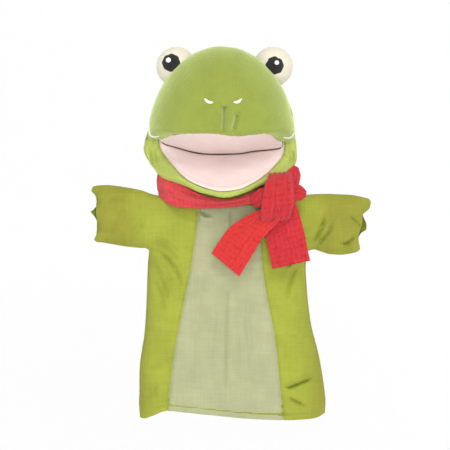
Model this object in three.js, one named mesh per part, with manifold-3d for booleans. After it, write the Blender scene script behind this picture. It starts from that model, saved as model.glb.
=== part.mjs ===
// Frog hand puppet: a woven glove with short arms, a padded head with a hinged mouth and a knotted scarf.
// Millimetres. +Z up, the face looks along -Y, +X is to the right of someone facing the puppet.
// The origin is the middle of the hem, where the hand goes in.
import * as THREE from 'three';
import { mergeVertices } from 'three/addons/utils/BufferGeometryUtils.js';
import Module from 'manifold-3d';

const wasm = await Module();
wasm.setup();

// ---- Cloth and clearances ----
const CLOTH = 1.4; // one sewn layer with its seam allowance
const GAP = 0.3; // between two pieces that are sewn together
const SEAM = GAP / 2; // each layer's distance from the seam plane y = 0
const PLAY = 1.2; // between a joint's moving and still edges

// ---- Glove body ----
const SHOULDER_Z = 154; // top of the glove panels
const SIDE_LEFT = [[0, 65], [37, 64.5], [62, 61], [100, 58.5], [126, 58], [SHOULDER_Z, 50]];
const SIDE_RIGHT = [[0, 73], [30, 70], [66, 62], [90, 59], [126, 58], [SHOULDER_Z, 50]];
const BODY_DEPTH = [[0, 22], [60, 21], [126, 19], [SHOULDER_Z, 18.5]]; // half depth at the middle
const BELLY_LEFT = [[0, 45], [33, 38], [81, 31], [126, 24], [SHOULDER_Z, 20]];
const BELLY_RIGHT = [[0, 42], [37, 39], [81, 33], [126, 26], [SHOULDER_Z, 24]];
const HEM_FACING = 12; // height of the turned-in strip at the hand opening
const FACING_REACH = 0.9; // share of the half width that the facing covers
const FACING_ROOM = 0.8; // between the facing and the panel it is turned against
const LENS = 2.4; // power of the flattened section that two sewn layers take up

// ---- Arms ----
const ARM_X = 58; // shoulder pivot, from the middle
const ARM_Z = 146;
const ARM_ROUND = 19; // radius of the sleeve's rounded shoulder end
const ARM_END = 0.92; // share of that radius at which the round end stops
const ARM_DEPTH = 11.5; // half depth at the shoulder
const WRIST_X = 84;
const WRIST_DEPTH = 8.6; // half depth of the hand at the wrist
const CUFF_DEPTH = WRIST_DEPTH + PLAY + CLOTH; // half depth of the sleeve's end, which the hand turns in
const ARM_BEND = 0.35; // where along the sleeve its edges turn outward
const ARMS = {
  left: {
    side: -1,
    top: [[0, 17.5], [ARM_BEND, 20], [1, 27]],
    bottom: [[0, 17.5], [ARM_BEND, 19], [1, 16.5]],
    tip: 102.3,
  },
  right: {
    side: 1,
    top: [[0, 17.5], [ARM_BEND, 19.5], [1, 20.5]],
    bottom: [[0, 17.5], [ARM_BEND, 19], [1, 24]],
    tip: 106.5,
  },
};
const WEB = 6; // depth of the webbing between two finger points
const TIP_DEPTH = CLOTH + 0.3; // half depth at the finger points

// ---- Neck and scarf ----
const NECK_WIDTH = 38.5; // half width
const NECK_DEPTH = 18.5; // half depth
const NECK_FRONT_TOP = 164;
const NECK_BACK_TOP = 184;
const BAND_WIDTH = 51.5; // half width of the scarf's wound band, before its bulge
const BAND_DEPTH = 25.5;
const BAND_THICK = 6;
const BAND_BULGE = 1.5;
const BAND_BOTTOM = { front: 155.3, side: 167, back: 161 };
const BAND_TOP = { front: 161.5, side: 183.5, back: 178.5 };
const KNOT = { x: 38, y: -31, z: 160.5, rx: 12, ry: 8, rz: 12 };
const TAIL_THICK = 2.4;
const TAIL_ROOT_Z = 147.4;
const TAIL_PIVOT_Y = -30;

// ---- Head ----
const HEAD = { x: -4, z: 206, width: 55.5, front: 50, rise: 72 };
const REAR = { width: HEAD.width + 2.5, depth: 43, rise: HEAD.rise - 2, drop: 46 };
const HEAD_BASE_Z = 187;
const BASE_THICK = 1.5;
const NECK_HOLE = { width: 44, depth: 21 };
const MOUTH_Y = -5; // fold at the back of the mouth
const PALATE_Z = 200;
const PALATE_TILT = 12; // degrees up towards the front
const PAD_THICK = 2.4;
const BOARD_THICK = 1.5;
const POCKET = { width: 30, length: 28, height: 18 };
const PASSAGE = { width: 34, back: 21, top: 230 };

// ---- Lower jaw ----
const JAW_Z = 197.5;
const JAW_TILT = 38; // degrees down towards the front
const JAW = { x: -4, width: 55, length: 47, drop: 14.5 };
const JAW_PAD_INSET = CLOTH + 1.8; // the cover narrows below its rim, so pad and board are smaller
const JAW_BOARD_INSET = CLOTH + 4;
const THUMB = { width: 11, length: 23, height: 5.4 };
const JAW_ROOM_BACK = 9; // how far behind the fold the head is kept clear of the jaw
const JAW_NOTCH = { width: 36, length: 16 }; // rear cut under the board, where the thumb enters

// ---- Eyes and stitches ----
const EYE_RADIUS = 15;
const EYE_Y = 6;
const PUPIL_RADIUS = 6.6;
const PUPIL_THICK = 0.8;
const GLINT_THICK = 0.6;
const eyeAt = (across, up, [pupilX, pupilZ], [glintX, glintZ, glintRadius]) => {
  const x = HEAD.x + across * HEAD.width;
  const z = HEAD.z + up * HEAD.rise;
  return { x, z, pupil: [x + pupilX, z + pupilZ], glint: [x + glintX, z + glintZ, glintRadius] };
};
const EYES = {
  left: eyeAt(-0.6126, 0.7958, [-3.6, 2.2], [-5.6, 3.8, 1.9]),
  right: eyeAt(0.6937, 0.7958, [1, 0], [2.5, 2, 1.7]),
};
const STITCH = 0.6; // thread radius
const NOSTRILS = {
  left: [[-16.4, 237.5], [-13.2, 235.2], [-10.5, 234.9]],
  right: [[5, 235], [7.4, 235.3], [10, 237]],
};
const SMILES = {
  left: [[-50.4, 206.3], [-53, 206.8], [-55.2, 209.5]],
  right: [[42.2, 206], [44.9, 206.6], [47, 209.3]],
};

const group = new THREE.Group();
group.name = 'hand_puppet';

const material = (color, roughness) => new THREE.MeshStandardMaterial({ color, roughness, metalness: 0 });
const HEAD_CLOTH = material('#a8b956', 0.85);
const CHEEK_CLOTH = material('#b4bf62', 0.85);
const SIDE_CLOTH = material('#b0bd4a', 0.85);
const SLEEVE_CLOTH = material('#a5a83f', 0.85);
const BELLY_CLOTH = material('#babd93', 0.88);
const PINK_CLOTH = material('#f0d8d0', 0.85);
const SCARF_CLOTH = material('#dc4449', 0.88);
const EYE_CLOTH = material('#ece5d4', 0.85);
const BLACK_THREAD = material('#35352f', 0.75);
const WHITE_THREAD = material('#f2f0ea', 0.8);
const LINING = material('#d9d4c4', 0.9);
const FILLING = material('#efeeea', 0.95);
const BOARD = material('#cfc6b2', 0.8);

/** Turns every face outward and adds the piece under its name. */
function add(name, geometry, look) {
  let volume = 0;
  const p = geometry.getAttribute('position');
  const index = geometry.index.array;
  const corner = [0, 1, 2].map(() => new THREE.Vector3());
  for (let i = 0; i < index.length; i += 3) {
    corner.forEach((v, k) => v.fromBufferAttribute(p, index[i + k]));
    volume += corner[0].dot(corner[1].clone().cross(corner[2]));
  }
  if (volume < 0) {
    for (let i = 0; i < index.length; i += 3) {
      [index[i], index[i + 1]] = [index[i + 1], index[i]];
    }
  }
  geometry.computeVertexNormals();
  const mesh = new THREE.Mesh(geometry, look);
  mesh.name = name;
  group.add(mesh);
}

/** Value at t on straight runs between [t, value] stations. */
function along(stations, t) {
  let k = 1;
  while (k < stations.length - 1 && t > stations[k][0]) k += 1;
  const [t0, a] = stations[k - 1];
  const [t1, b] = stations[k];
  return a + (b - a) * THREE.MathUtils.clamp((t - t0) / (t1 - t0), 0, 1);
}

const mix = (a, b, t) => a + (b - a) * t;
const lens = (s) => 1 - Math.min(1, Math.abs(s)) ** LENS;

/** A closed sheet: an outer and an inner skin over one grid, joined around the edge or into a ring. */
function sheet(columns, rows, outer, inner, ring = false) {
  const across = ring ? columns : columns + 1;
  const positions = [];
  for (const skin of [outer, inner]) {
    for (let j = 0; j <= rows; j += 1) {
      for (let i = 0; i < across; i += 1) {
        positions.push(...skin(i / columns, j / rows));
      }
    }
  }
  const at = (side, i, j) => side * across * (rows + 1) + j * across + (i % across);
  const index = [];
  const quad = (a, b, c, d) => index.push(a, b, c, a, c, d);
  for (let i = 0; i < columns; i += 1) {
    for (let j = 0; j < rows; j += 1) {
      quad(at(0, i, j), at(0, i + 1, j), at(0, i + 1, j + 1), at(0, i, j + 1));
      quad(at(1, i, j), at(1, i, j + 1), at(1, i + 1, j + 1), at(1, i + 1, j));
    }
    quad(at(0, i, 0), at(1, i, 0), at(1, i + 1, 0), at(0, i + 1, 0));
    quad(at(0, i, rows), at(0, i + 1, rows), at(1, i + 1, rows), at(1, i, rows));
  }
  for (let j = 0; j < rows && !ring; j += 1) {
    quad(at(0, 0, j), at(0, 0, j + 1), at(1, 0, j + 1), at(1, 0, j));
    quad(at(0, columns, j), at(1, columns, j), at(1, columns, j + 1), at(0, columns, j + 1));
  }
  const geometry = new THREE.BufferGeometry();
  geometry.setAttribute('position', new THREE.Float32BufferAttribute(positions, 3));
  geometry.setIndex(index);
  return geometry;
}

/** One layer of a two-layer piece: `place` gives x, z and the middle depth above the seam at (u, v). */
function layer(face, columns, rows, place, inset = 0) {
  const skin = (depth) => (u, v) => {
    const { x, z, y } = place(u, v);
    return [x, face * (y - depth), z];
  };
  return sheet(columns, rows, skin(inset), skin(inset + CLOTH));
}

// ---- Boolean helpers ----
function toManifold(geometry) {
  const bare = geometry.clone();
  bare.deleteAttribute('normal');
  bare.deleteAttribute('uv');
  const merged = mergeVertices(bare, 1e-5);
  const position = merged.getAttribute('position').array;
  const vertProperties = new Float32Array(position);
  const triVerts = new Uint32Array(merged.index.array);
  return new wasm.Manifold(new wasm.Mesh({ numProp: 3, vertProperties, triVerts }));
}

function fromManifold(solid) {
  const mesh = solid.getMesh();
  const geometry = new THREE.BufferGeometry();
  geometry.setAttribute('position', new THREE.Float32BufferAttribute(mesh.vertProperties, 3));
  geometry.setIndex([...mesh.triVerts]);
  return geometry;
}

/** A ball of three radii whose lower half may be shallower or deeper than its upper half. */
function egg(x, y, z, rx, ry, up, down = up, around = 28, high = 16) {
  const geometry = new THREE.SphereGeometry(1, around, high).rotateX(Math.PI / 2);
  const p = geometry.getAttribute('position');
  for (let i = 0; i < p.count; i += 1) {
    const rz = p.getZ(i) > 0 ? up : down;
    p.setXYZ(i, x + p.getX(i) * rx, y + p.getY(i) * ry, z + p.getZ(i) * rz);
  }
  return toManifold(geometry);
}

/** A block between two corners, turned by `tilt` degrees about the X line through (y, z). */
function block(low, high, tilt = 0, y = 0, z = 0) {
  const size = low.map((v, k) => high[k] - v);
  const geometry = new THREE.BoxGeometry(...size);
  geometry.translate(...low.map((v, k) => v + size[k] / 2));
  geometry.rotateX(THREE.MathUtils.degToRad(tilt));
  geometry.translate(0, y, z);
  return toManifold(geometry);
}

/** A flat-bottomed tunnel block with a rounded top or bottom, `length` long from y = 0 towards -Y. */
function arch(width, length, height, x, base, tilt, y, z) {
  const shape = new THREE.Shape();
  const round = Math.min(width, height) * 0.6;
  shape.moveTo(-width, 0);
  shape.lineTo(width, 0);
  shape.lineTo(width, height - round);
  shape.quadraticCurveTo(width, height, width - round, height);
  shape.lineTo(-width + round, height);
  shape.quadraticCurveTo(-width, height, -width, height - round);
  const geometry = new THREE.ExtrudeGeometry(shape, { depth: length, bevelEnabled: false, curveSegments: 4 });
  geometry.rotateX(Math.PI / 2);
  geometry.translate(x, 0, base);
  geometry.rotateX(THREE.MathUtils.degToRad(tilt));
  geometry.translate(0, y, z);
  return toManifold(geometry);
}

// ================= Glove body =================
const bodyLeft = (z) => -along(SIDE_LEFT, z);
const bodyRight = (z) => along(SIDE_RIGHT, z);
const armhole = ARM_ROUND + PLAY;

/** Depth of the glove's outer face above its side seams at (x, z). */
function bodyFace(x, z) {
  const middle = (bodyLeft(z) + bodyRight(z)) / 2;
  const half = (bodyRight(z) - bodyLeft(z)) / 2;
  return SEAM + CLOTH + (along(BODY_DEPTH, z) - CLOTH) * lens((x - middle) / half);
}

/** How far out the panel reaches at height z: to the side seam, or to the armhole's edge. */
function panelSide(side, z) {
  const seam = side < 0 ? bodyLeft(z) : bodyRight(z);
  const rise = z - ARM_Z;
  if (Math.abs(rise) >= armhole) return seam;
  const edge = side * (ARM_X - Math.sqrt(armhole ** 2 - rise ** 2));
  return side < 0 ? Math.max(seam, edge) : Math.min(seam, edge);
}

/** Rows are closer together beside the armhole. */
const bodyRow = (v) => along([[0, 0], [0.4, ARM_Z - armhole], [1, SHOULDER_Z - SEAM]], v);

function bodyPanel(name, look, face, from, to, columns, rows = 20) {
  const place = (u, v) => {
    const z = bodyRow(v);
    const x = mix(from(z), to(z), u);
    return { x, z, y: bodyFace(x, z) };
  };
  add(name, layer(face, columns, rows, place), look);
}

const bellyLeft = (z) => -along(BELLY_LEFT, z);
const bellyRight = (z) => along(BELLY_RIGHT, z);
bodyPanel('belly_panel', BELLY_CLOTH, -1, bellyLeft, bellyRight, 6);
bodyPanel('left_front_panel', SIDE_CLOTH, -1, (z) => panelSide(-1, z), (z) => bellyLeft(z) - GAP, 3);
bodyPanel('right_front_panel', SIDE_CLOTH, -1, (z) => bellyRight(z) + GAP, (z) => panelSide(1, z), 3);
bodyPanel('back_panel', SIDE_CLOTH, 1, (z) => panelSide(-1, z), (z) => panelSide(1, z), 10);

for (const [name, face] of [['hem_facing_front', -1], ['hem_facing_back', 1]]) {
  const place = (u, v) => {
    const z = v * HEM_FACING;
    const x = FACING_REACH * mix(bodyLeft(z), bodyRight(z), u);
    return { x, z, y: bodyFace(x, z) };
  };
  add(name, layer(face, 12, 2, place, CLOTH + FACING_ROOM), SIDE_CLOTH);
}

// ================= Arms and hands =================
for (const [label, arm] of Object.entries(ARMS)) {
  const { side } = arm;
  const heightAt = (u, v) => mix(ARM_Z - along(arm.bottom, u), ARM_Z + along(arm.top, u), v);
  const swell = (depth, v) => SEAM + CLOTH + (depth - CLOTH) * lens(2 * v - 1);

  const sleeve = (u, v) => {
    const y = swell(mix(ARM_DEPTH, CUFF_DEPTH, u), v);
    const rise = (2 * v - 1) * ARM_ROUND * ARM_END;
    const start = ARM_X - Math.sqrt(ARM_ROUND ** 2 - rise ** 2);
    const inside = y - CLOTH;
    const end = WRIST_X - Math.sqrt(Math.max(0, (WRIST_DEPTH + PLAY) ** 2 - inside ** 2));
    return { x: side * mix(start, end, u), z: heightAt(u, v), y };
  };
  add(`${label}_sleeve_front`, layer(-1, 6, 8, sleeve), SLEEVE_CLOTH);
  add(`${label}_sleeve_back`, layer(1, 6, 8, sleeve), SLEEVE_CLOTH);

  /** Reach of the hand's edge: three points with curved webbing between them, rounded off outside. */
  const reach = (v) => {
    const step = v * 16;
    if (step < 1 || step > 15) return arm.tip - 3;
    const between = step < 8 ? (step - 1) / 7 : (step - 8) / 7;
    return arm.tip - WEB * Math.sin(Math.PI * between);
  };
  const hand = (u, v) => {
    const depth = along([[0, WRIST_DEPTH], [0.5, 4.2], [1, TIP_DEPTH]], u);
    const y = swell(depth, v);
    const rootY = swell(WRIST_DEPTH, v);
    const start = WRIST_X - Math.sqrt(Math.max(0, (WRIST_DEPTH + SEAM) ** 2 - rootY ** 2));
    return { x: side * mix(start, reach(v), u), z: heightAt(1, v), y };
  };
  add(`${label}_hand_front`, layer(-1, 4, 16, hand), SLEEVE_CLOTH);
  add(`${label}_hand_back`, layer(1, 4, 16, hand), SLEEVE_CLOTH);
}

// ================= Neck and scarf =================
const jawPart = (inset) =>
  egg(JAW.x, 0, 0, JAW.width - inset, JAW.length - inset, 0.01, JAW.drop - inset, 28, 12);
const placeJaw = (solid) =>
  solid.rotate([JAW_TILT, 0, 0]).translate([0, MOUTH_Y, JAW_Z]);
const chinRoom = placeJaw(jawPart(-GAP));

/** Height that runs smoothly from a front value through the sides to the back value. */
function around({ front, side, back }, angle) {
  const s = Math.sin(angle);
  return s < 0 ? mix(side, front, s * s) : mix(side, back, s * s);
}

const neckTop = (angle) => mix(NECK_FRONT_TOP, NECK_BACK_TOP, (1 + Math.sin(angle)) / 2);
const neck = (inset) => (u, v) => {
  const angle = u * Math.PI * 2;
  const z = mix(SHOULDER_Z + GAP, neckTop(angle), v);
  return [(NECK_WIDTH - inset) * Math.cos(angle), (NECK_DEPTH - inset) * Math.sin(angle), z];
};
add('neck_sleeve', sheet(24, 3, neck(0), neck(CLOTH), true), SIDE_CLOTH);

const band = (inset, bulge) => (u, v) => {
  const angle = u * Math.PI * 2;
  const swell = bulge * Math.sin(Math.PI * v) - inset;
  const z = mix(around(BAND_BOTTOM, angle), around(BAND_TOP, angle), v);
  return [(BAND_WIDTH + swell) * Math.cos(angle), (BAND_DEPTH + swell) * Math.sin(angle), z];
};
const wound = toManifold(sheet(32, 4, band(0, BAND_BULGE), band(BAND_THICK, 0), true)).subtract(chinRoom);
add('scarf_neck_band', fromManifold(wound), SCARF_CLOTH);

const bandSolid = toManifold(sheet(32, 4, band(-GAP, BAND_BULGE), band(BAND_THICK, 0), true));
const knotBall = (grow) =>
  egg(KNOT.x, KNOT.y, KNOT.z, KNOT.rx + grow, KNOT.ry + grow, KNOT.rz + grow, KNOT.rz + grow, 16, 10);
const knotRoom = knotBall(GAP);
const knot = knotBall(0).subtract(bandSolid).subtract(chinRoom);
add('scarf_knot', fromManifold(knot), SCARF_CLOTH);
const beside = knotRoom.add(bandSolid).add(chinRoom);
const upperLobe = egg(47, -27, 174.5, 8, 4.5, 7, 7, 14, 8).subtract(beside);
const lowerLobe = egg(53, -25, 162, 6, 4, 7, 7, 14, 8).subtract(beside);
add('scarf_upper_lobe', fromManifold(upperLobe), SCARF_CLOTH);
add('scarf_lower_lobe', fromManifold(lowerLobe), SCARF_CLOTH);

/** A hanging scarf end between a root edge under the knot and its loose end. */
function tail(name, root, end, rootY, endY) {
  const skin = (depth) => (u, v) => {
    const x = mix(mix(root[0], root[1], u), mix(end[0][0], end[1][0], u), v);
    const z = mix(TAIL_ROOT_Z, mix(end[0][1], end[1][1], u), v);
    const ripple = 1.2 * Math.sin(Math.PI * u) * v;
    return [x, mix(rootY, endY, v) - ripple - depth, z];
  };
  add(name, sheet(6, 6, skin(TAIL_THICK / 2), skin(-TAIL_THICK / 2)), SCARF_CLOTH);
}
tail('scarf_left_tail', [22, 37], [[-11.5, 123.5], [9, 106]], TAIL_PIVOT_Y, -26);
tail('scarf_right_tail', [40, 52], [[33.5, 111.5], [61.4, 117.5]], TAIL_PIVOT_Y + 1, -25);

// ================= Head =================
const FAR = 120;
const front = (inset) =>
  egg(HEAD.x, 0, HEAD.z, HEAD.width - inset, HEAD.front - inset, HEAD.rise - inset);
const rear = (inset) =>
  egg(HEAD.x, 0, HEAD.z, REAR.width - inset, REAR.depth - inset, REAR.rise - inset, REAR.drop - inset);
const abovePalate = (lift) => block([-FAR, -FAR, lift], [FAR, 40, FAR], -PALATE_TILT, MOUTH_Y, PALATE_Z);
const palateSlab = (low, high) =>
  block([-FAR, -FAR, low], [FAR, -SEAM, high], -PALATE_TILT, MOUTH_Y, PALATE_Z);
const frontHalf = block([-FAR, -FAR, -FAR], [FAR, -SEAM, 3 * FAR]);
const rearHalf = block([-FAR, SEAM, HEAD_BASE_Z], [FAR, FAR, 3 * FAR]);

const LINED = CLOTH + GAP; // from an outer face to what lies inside the cloth
const boardLow = PAD_THICK + GAP;
const pocketLow = boardLow + BOARD_THICK + GAP;

const frontCloth = front(0).subtract(front(CLOTH)).intersect(frontHalf).intersect(abovePalate(0));
add('head_front', fromManifold(frontCloth), HEAD_CLOTH);
add('head_back', fromManifold(rear(0).subtract(rear(CLOTH)).intersect(rearHalf)), CHEEK_CLOTH);
add('palate_pad', fromManifold(front(LINED).intersect(palateSlab(0, PAD_THICK))), PINK_CLOTH);
const board = front(LINED + 1.5).intersect(palateSlab(boardLow, boardLow + BOARD_THICK));
add('upper_mouth_board', fromManifold(board), BOARD);

const pocket = (grow) =>
  arch(
    POCKET.width + grow,
    POCKET.length + grow,
    POCKET.height + 2 * grow,
    HEAD.x,
    pocketLow - grow,
    -PALATE_TILT,
    MOUTH_Y,
    PALATE_Z,
  );
const openRear = block([-FAR, MOUTH_Y - GAP, 0], [FAR, FAR, 3 * FAR]);
const fingerPocket = pocket(0).subtract(
  arch(
    POCKET.width - CLOTH,
    POCKET.length - CLOTH,
    POCKET.height - 2 * CLOTH,
    HEAD.x,
    pocketLow + CLOTH,
    -PALATE_TILT,
    MOUTH_Y + GAP,
    PALATE_Z,
  ),
);
add('finger_pocket', fromManifold(fingerPocket.subtract(openRear)), LINING);

const neckHole = (() => {
  const shape = new THREE.Shape().absellipse(0, 0, NECK_HOLE.width, NECK_HOLE.depth, 0, Math.PI * 2);
  const geometry = new THREE.ExtrudeGeometry(shape, { depth: 12, bevelEnabled: false, curveSegments: 12 });
  geometry.translate(0, 0, HEAD_BASE_Z - 6);
  return toManifold(geometry);
})();
const baseSlab = block([-FAR, JAW_ROOM_BACK, HEAD_BASE_Z], [FAR, FAR, HEAD_BASE_Z + BASE_THICK]);
add('head_base', fromManifold(rear(LINED).intersect(baseSlab).subtract(neckHole)), SIDE_CLOTH);

const passage = block(
  [HEAD.x - PASSAGE.width, MOUTH_Y - 1, 0],
  [HEAD.x + PASSAGE.width, PASSAGE.back, PASSAGE.top],
);
const jawRoom = block(
  [JAW.x - JAW.width - PLAY, MOUTH_Y - 1, 0],
  [JAW.x + JAW.width + PLAY, JAW_ROOM_BACK, PALATE_Z - 2],
);
const abovePad = abovePalate(pocketLow);
const filling = front(LINED)
  .intersect(frontHalf)
  .intersect(abovePad)
  .add(rear(LINED).intersect(block([-FAR, -SEAM, HEAD_BASE_Z + BASE_THICK + GAP], [FAR, FAR, 3 * FAR])))
  .subtract(pocket(GAP))
  .subtract(passage)
  .subtract(jawRoom)
  .subtract(neckHole);
add('head_filling', fromManifold(filling), FILLING);

// ================= Lower jaw =================
const jawSlab = (low, high) => block([-FAR, -FAR, low], [FAR, -SEAM, high]);
const jawPlate = (inset, low, high) => {
  const shape = new THREE.Shape();
  shape.absellipse(JAW.x, 0, JAW.width - inset, JAW.length - inset, Math.PI, 2 * Math.PI);
  shape.closePath();
  const settings = { depth: high - low, bevelEnabled: false, curveSegments: 14 };
  const geometry = new THREE.ExtrudeGeometry(shape, settings);
  geometry.translate(0, -SEAM, low);
  return toManifold(geometry);
};
const thumb = (grow) =>
  arch(THUMB.width + grow, THUMB.length + grow, THUMB.height + grow, 0, 0, 0, 0, 0)
    .rotate([0, 180, 0])
    .translate([JAW.x, 0, -pocketLow + (grow > 0 ? grow : 0)]);
const jawNotch = block(
  [JAW.x - JAW_NOTCH.width, -JAW_NOTCH.length, -FAR],
  [JAW.x + JAW_NOTCH.width, FAR, -pocketLow + GAP / 2],
);

const cover = jawPart(0).subtract(jawPart(CLOTH)).intersect(jawSlab(-FAR, -0.02));
const chinCloth = cover.subtract(jawNotch).subtract(jawPlate(CLOTH, -0.5, 0.5));
add('chin_cover', fromManifold(placeJaw(chinCloth)), HEAD_CLOTH);
add('lower_mouth_pad', fromManifold(placeJaw(jawPlate(JAW_PAD_INSET, -PAD_THICK, 0))), PINK_CLOTH);
const lowerBoard = jawPlate(JAW_BOARD_INSET, -boardLow - BOARD_THICK, -boardLow);
add('lower_mouth_board', fromManifold(placeJaw(lowerBoard)), BOARD);
const thumbPocket = thumb(0).subtract(
  arch(THUMB.width - CLOTH, THUMB.length - CLOTH, THUMB.height - 2 * CLOTH, 0, 0, 0, 0, 0)
    .rotate([0, 180, 0])
    .translate([JAW.x, GAP, -pocketLow - CLOTH]),
);
const thumbEnd = block([-FAR, -2 * SEAM, -FAR], [FAR, FAR, FAR]);
add('thumb_pocket', fromManifold(placeJaw(thumbPocket.subtract(thumbEnd))), LINING);
const jawFilling = jawPart(LINED)
  .intersect(jawSlab(-FAR, -pocketLow))
  .subtract(thumb(GAP))
  .subtract(block([-FAR, -JAW_NOTCH.length - GAP, -FAR], [FAR, FAR, FAR]));
add('jaw_filling', fromManifold(placeJaw(jawFilling)), FILLING);

// ================= Eyes =================
const headRoom = front(-GAP).add(rear(-GAP));
for (const [label, eye] of Object.entries(EYES)) {
  const ball = (radius) => egg(eye.x, EYE_Y, eye.z, radius, radius, radius, radius, 20, 12);
  const disc = ([x, z], radius) => {
    const geometry = new THREE.CylinderGeometry(radius, radius, EYE_RADIUS * 2, 12);
    geometry.translate(x, EYE_Y - EYE_RADIUS, z);
    return toManifold(geometry);
  };
  const patch = (low, thick, centre, radius) =>
    ball(low + thick).subtract(ball(low)).intersect(disc(centre, radius)).subtract(headRoom);
  add(`${label}_eye`, fromManifold(ball(EYE_RADIUS).subtract(headRoom)), EYE_CLOTH);
  const pupilLow = EYE_RADIUS + GAP;
  add(`${label}_pupil`, fromManifold(patch(pupilLow, PUPIL_THICK, eye.pupil, PUPIL_RADIUS)), BLACK_THREAD);
  const glintLow = pupilLow + PUPIL_THICK + GAP;
  add(`${label}_glint`, fromManifold(patch(glintLow, GLINT_THICK, eye.glint, eye.glint[2])), WHITE_THREAD);
}

// ================= Stitches on the face =================
/** Depth of the head's front face at (x, z), plus a lift away from it. */
function facePoint([x, z], lift) {
  const s = 1 - ((x - HEAD.x) / HEAD.width) ** 2 - ((z - HEAD.z) / HEAD.rise) ** 2;
  const point = new THREE.Vector3(x, -HEAD.front * Math.sqrt(Math.max(0, s)), z);
  const out = new THREE.Vector3(
    (point.x - HEAD.x) / HEAD.width ** 2,
    point.y / HEAD.front ** 2,
    (point.z - HEAD.z) / HEAD.rise ** 2,
  );
  return point.addScaledVector(out.normalize(), lift);
}

function stitch(name, points) {
  const path = new THREE.CatmullRomCurve3(points.map((p) => facePoint(p, STITCH + 2 * GAP)));
  const ring = new THREE.Shape().absarc(0, 0, STITCH, 0, Math.PI * 2);
  const geometry = new THREE.ExtrudeGeometry(ring, { steps: 8, extrudePath: path, curveSegments: 4 });
  add(name, fromManifold(toManifold(geometry)), WHITE_THREAD);
}
for (const side of ['left', 'right']) {
  stitch(`${side}_nostril`, NOSTRILS[side]);
  stitch(`${side}_smile_stitch`, SMILES[side]);
}

export default group;
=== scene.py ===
"""Frog hand puppet: sewn glove, padded head with a hinged mouth, and a knotted gauze scarf.

Lengths in the makers' functions are millimetres.
Panel coordinates are (across, up), with the face towards -Y.
Left and right are as seen by someone facing the puppet.
"""

import math

import bmesh
import bpy
import numpy as np
from bpy.props import FloatProperty, FloatVectorProperty, IntProperty, PointerProperty
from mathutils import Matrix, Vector
from mathutils.bvhtree import BVHTree
from mathutils.geometry import delaunay_2d_cdt


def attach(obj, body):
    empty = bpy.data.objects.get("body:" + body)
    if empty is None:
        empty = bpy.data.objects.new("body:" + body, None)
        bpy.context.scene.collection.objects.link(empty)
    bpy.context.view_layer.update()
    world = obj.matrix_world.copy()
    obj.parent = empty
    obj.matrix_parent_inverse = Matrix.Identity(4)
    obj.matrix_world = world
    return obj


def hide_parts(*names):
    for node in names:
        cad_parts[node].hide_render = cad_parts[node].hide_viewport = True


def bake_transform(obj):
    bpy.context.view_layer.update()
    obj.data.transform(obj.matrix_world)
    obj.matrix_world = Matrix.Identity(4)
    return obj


bl_info = {
    "name": "Frog Hand Puppet",
    "version": (1, 0, 0),
    "blender": (4, 5, 0),
    "location": "View3D > Sidebar > Puppet",
    "description": "Sews the cloth, scarf and face of a frog hand puppet over its CAD frame",
    "category": "Object",
}

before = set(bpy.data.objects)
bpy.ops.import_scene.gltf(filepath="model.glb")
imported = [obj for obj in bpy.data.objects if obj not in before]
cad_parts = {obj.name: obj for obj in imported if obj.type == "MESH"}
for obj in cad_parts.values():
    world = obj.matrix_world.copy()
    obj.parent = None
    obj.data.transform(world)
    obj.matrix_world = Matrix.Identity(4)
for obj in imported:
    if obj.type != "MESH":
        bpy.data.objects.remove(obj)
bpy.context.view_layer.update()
MM = 0.001


# ---------------------------------------------------------------- drawing lines

def curve(points, pitch=1.2):
    """A smooth line through the points, about one pitch between its steps."""
    p = np.array(points, float)
    ends = np.vstack([2 * p[0] - p[1], p, 2 * p[-1] - p[-2]])
    out = []
    for a, b, c, d in zip(ends, ends[1:], ends[2:], ends[3:]):
        steps = max(1, int(round(np.linalg.norm(c - b) / pitch)))
        t = (np.arange(steps) / steps)[:, None]
        out.append(
            0.5 * (2 * b + (c - a) * t + (2 * a - 5 * b + 4 * c - d) * t**2 + (3 * b - a - 3 * c + d) * t**3)
        )
    return np.vstack([*out, p[-1:]])


def joined(*lines):
    """Lines end to end, without the points they share."""
    out = [lines[0]]
    for line in lines[1:]:
        out.append(line[1:] if np.allclose(line[0], out[-1][-1], atol=0.01) else line)
    return np.vstack(out)


def at(stations, t):
    """Value at t on straight runs between (t, value) stations."""
    s = np.array(stations, float)
    return np.interp(t, s[:, 0], s[:, 1])


def on_line(line, t):
    """Points at shares t of a line's length."""
    line = np.asarray(line, float)
    run = np.r_[0, np.cumsum(np.linalg.norm(np.diff(line, axis=0), axis=1))]
    t = np.asarray(t) * run[-1]
    return np.stack([np.interp(t, run, line[:, k]) for k in range(line.shape[1])], -1)


def distance(points, line):
    """Distance from each point to a line."""
    points, line = np.asarray(points, float), np.asarray(line, float)
    best = np.full(len(points), 1e9)
    for a, b in zip(line, line[1:]):
        d = b - a
        t = np.clip(((points - a) @ d) / max(d @ d, 1e-12), 0, 1)
        best = np.minimum(best, np.linalg.norm(points - a - t[:, None] * d, axis=1))
    return best


def inside(points, outline):
    """Which points lie inside a closed outline."""
    x, y = np.asarray(points, float).T
    found = np.zeros(len(x), bool)
    for (x0, y0), (x1, y1) in zip(outline, np.roll(outline, -1, axis=0)):
        if y0 == y1:
            continue
        crosses = ((y0 > y) != (y1 > y)) & (x < (x1 - x0) * (y - y0) / (y1 - y0) + x0)
        found ^= crosses
    return found


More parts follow.
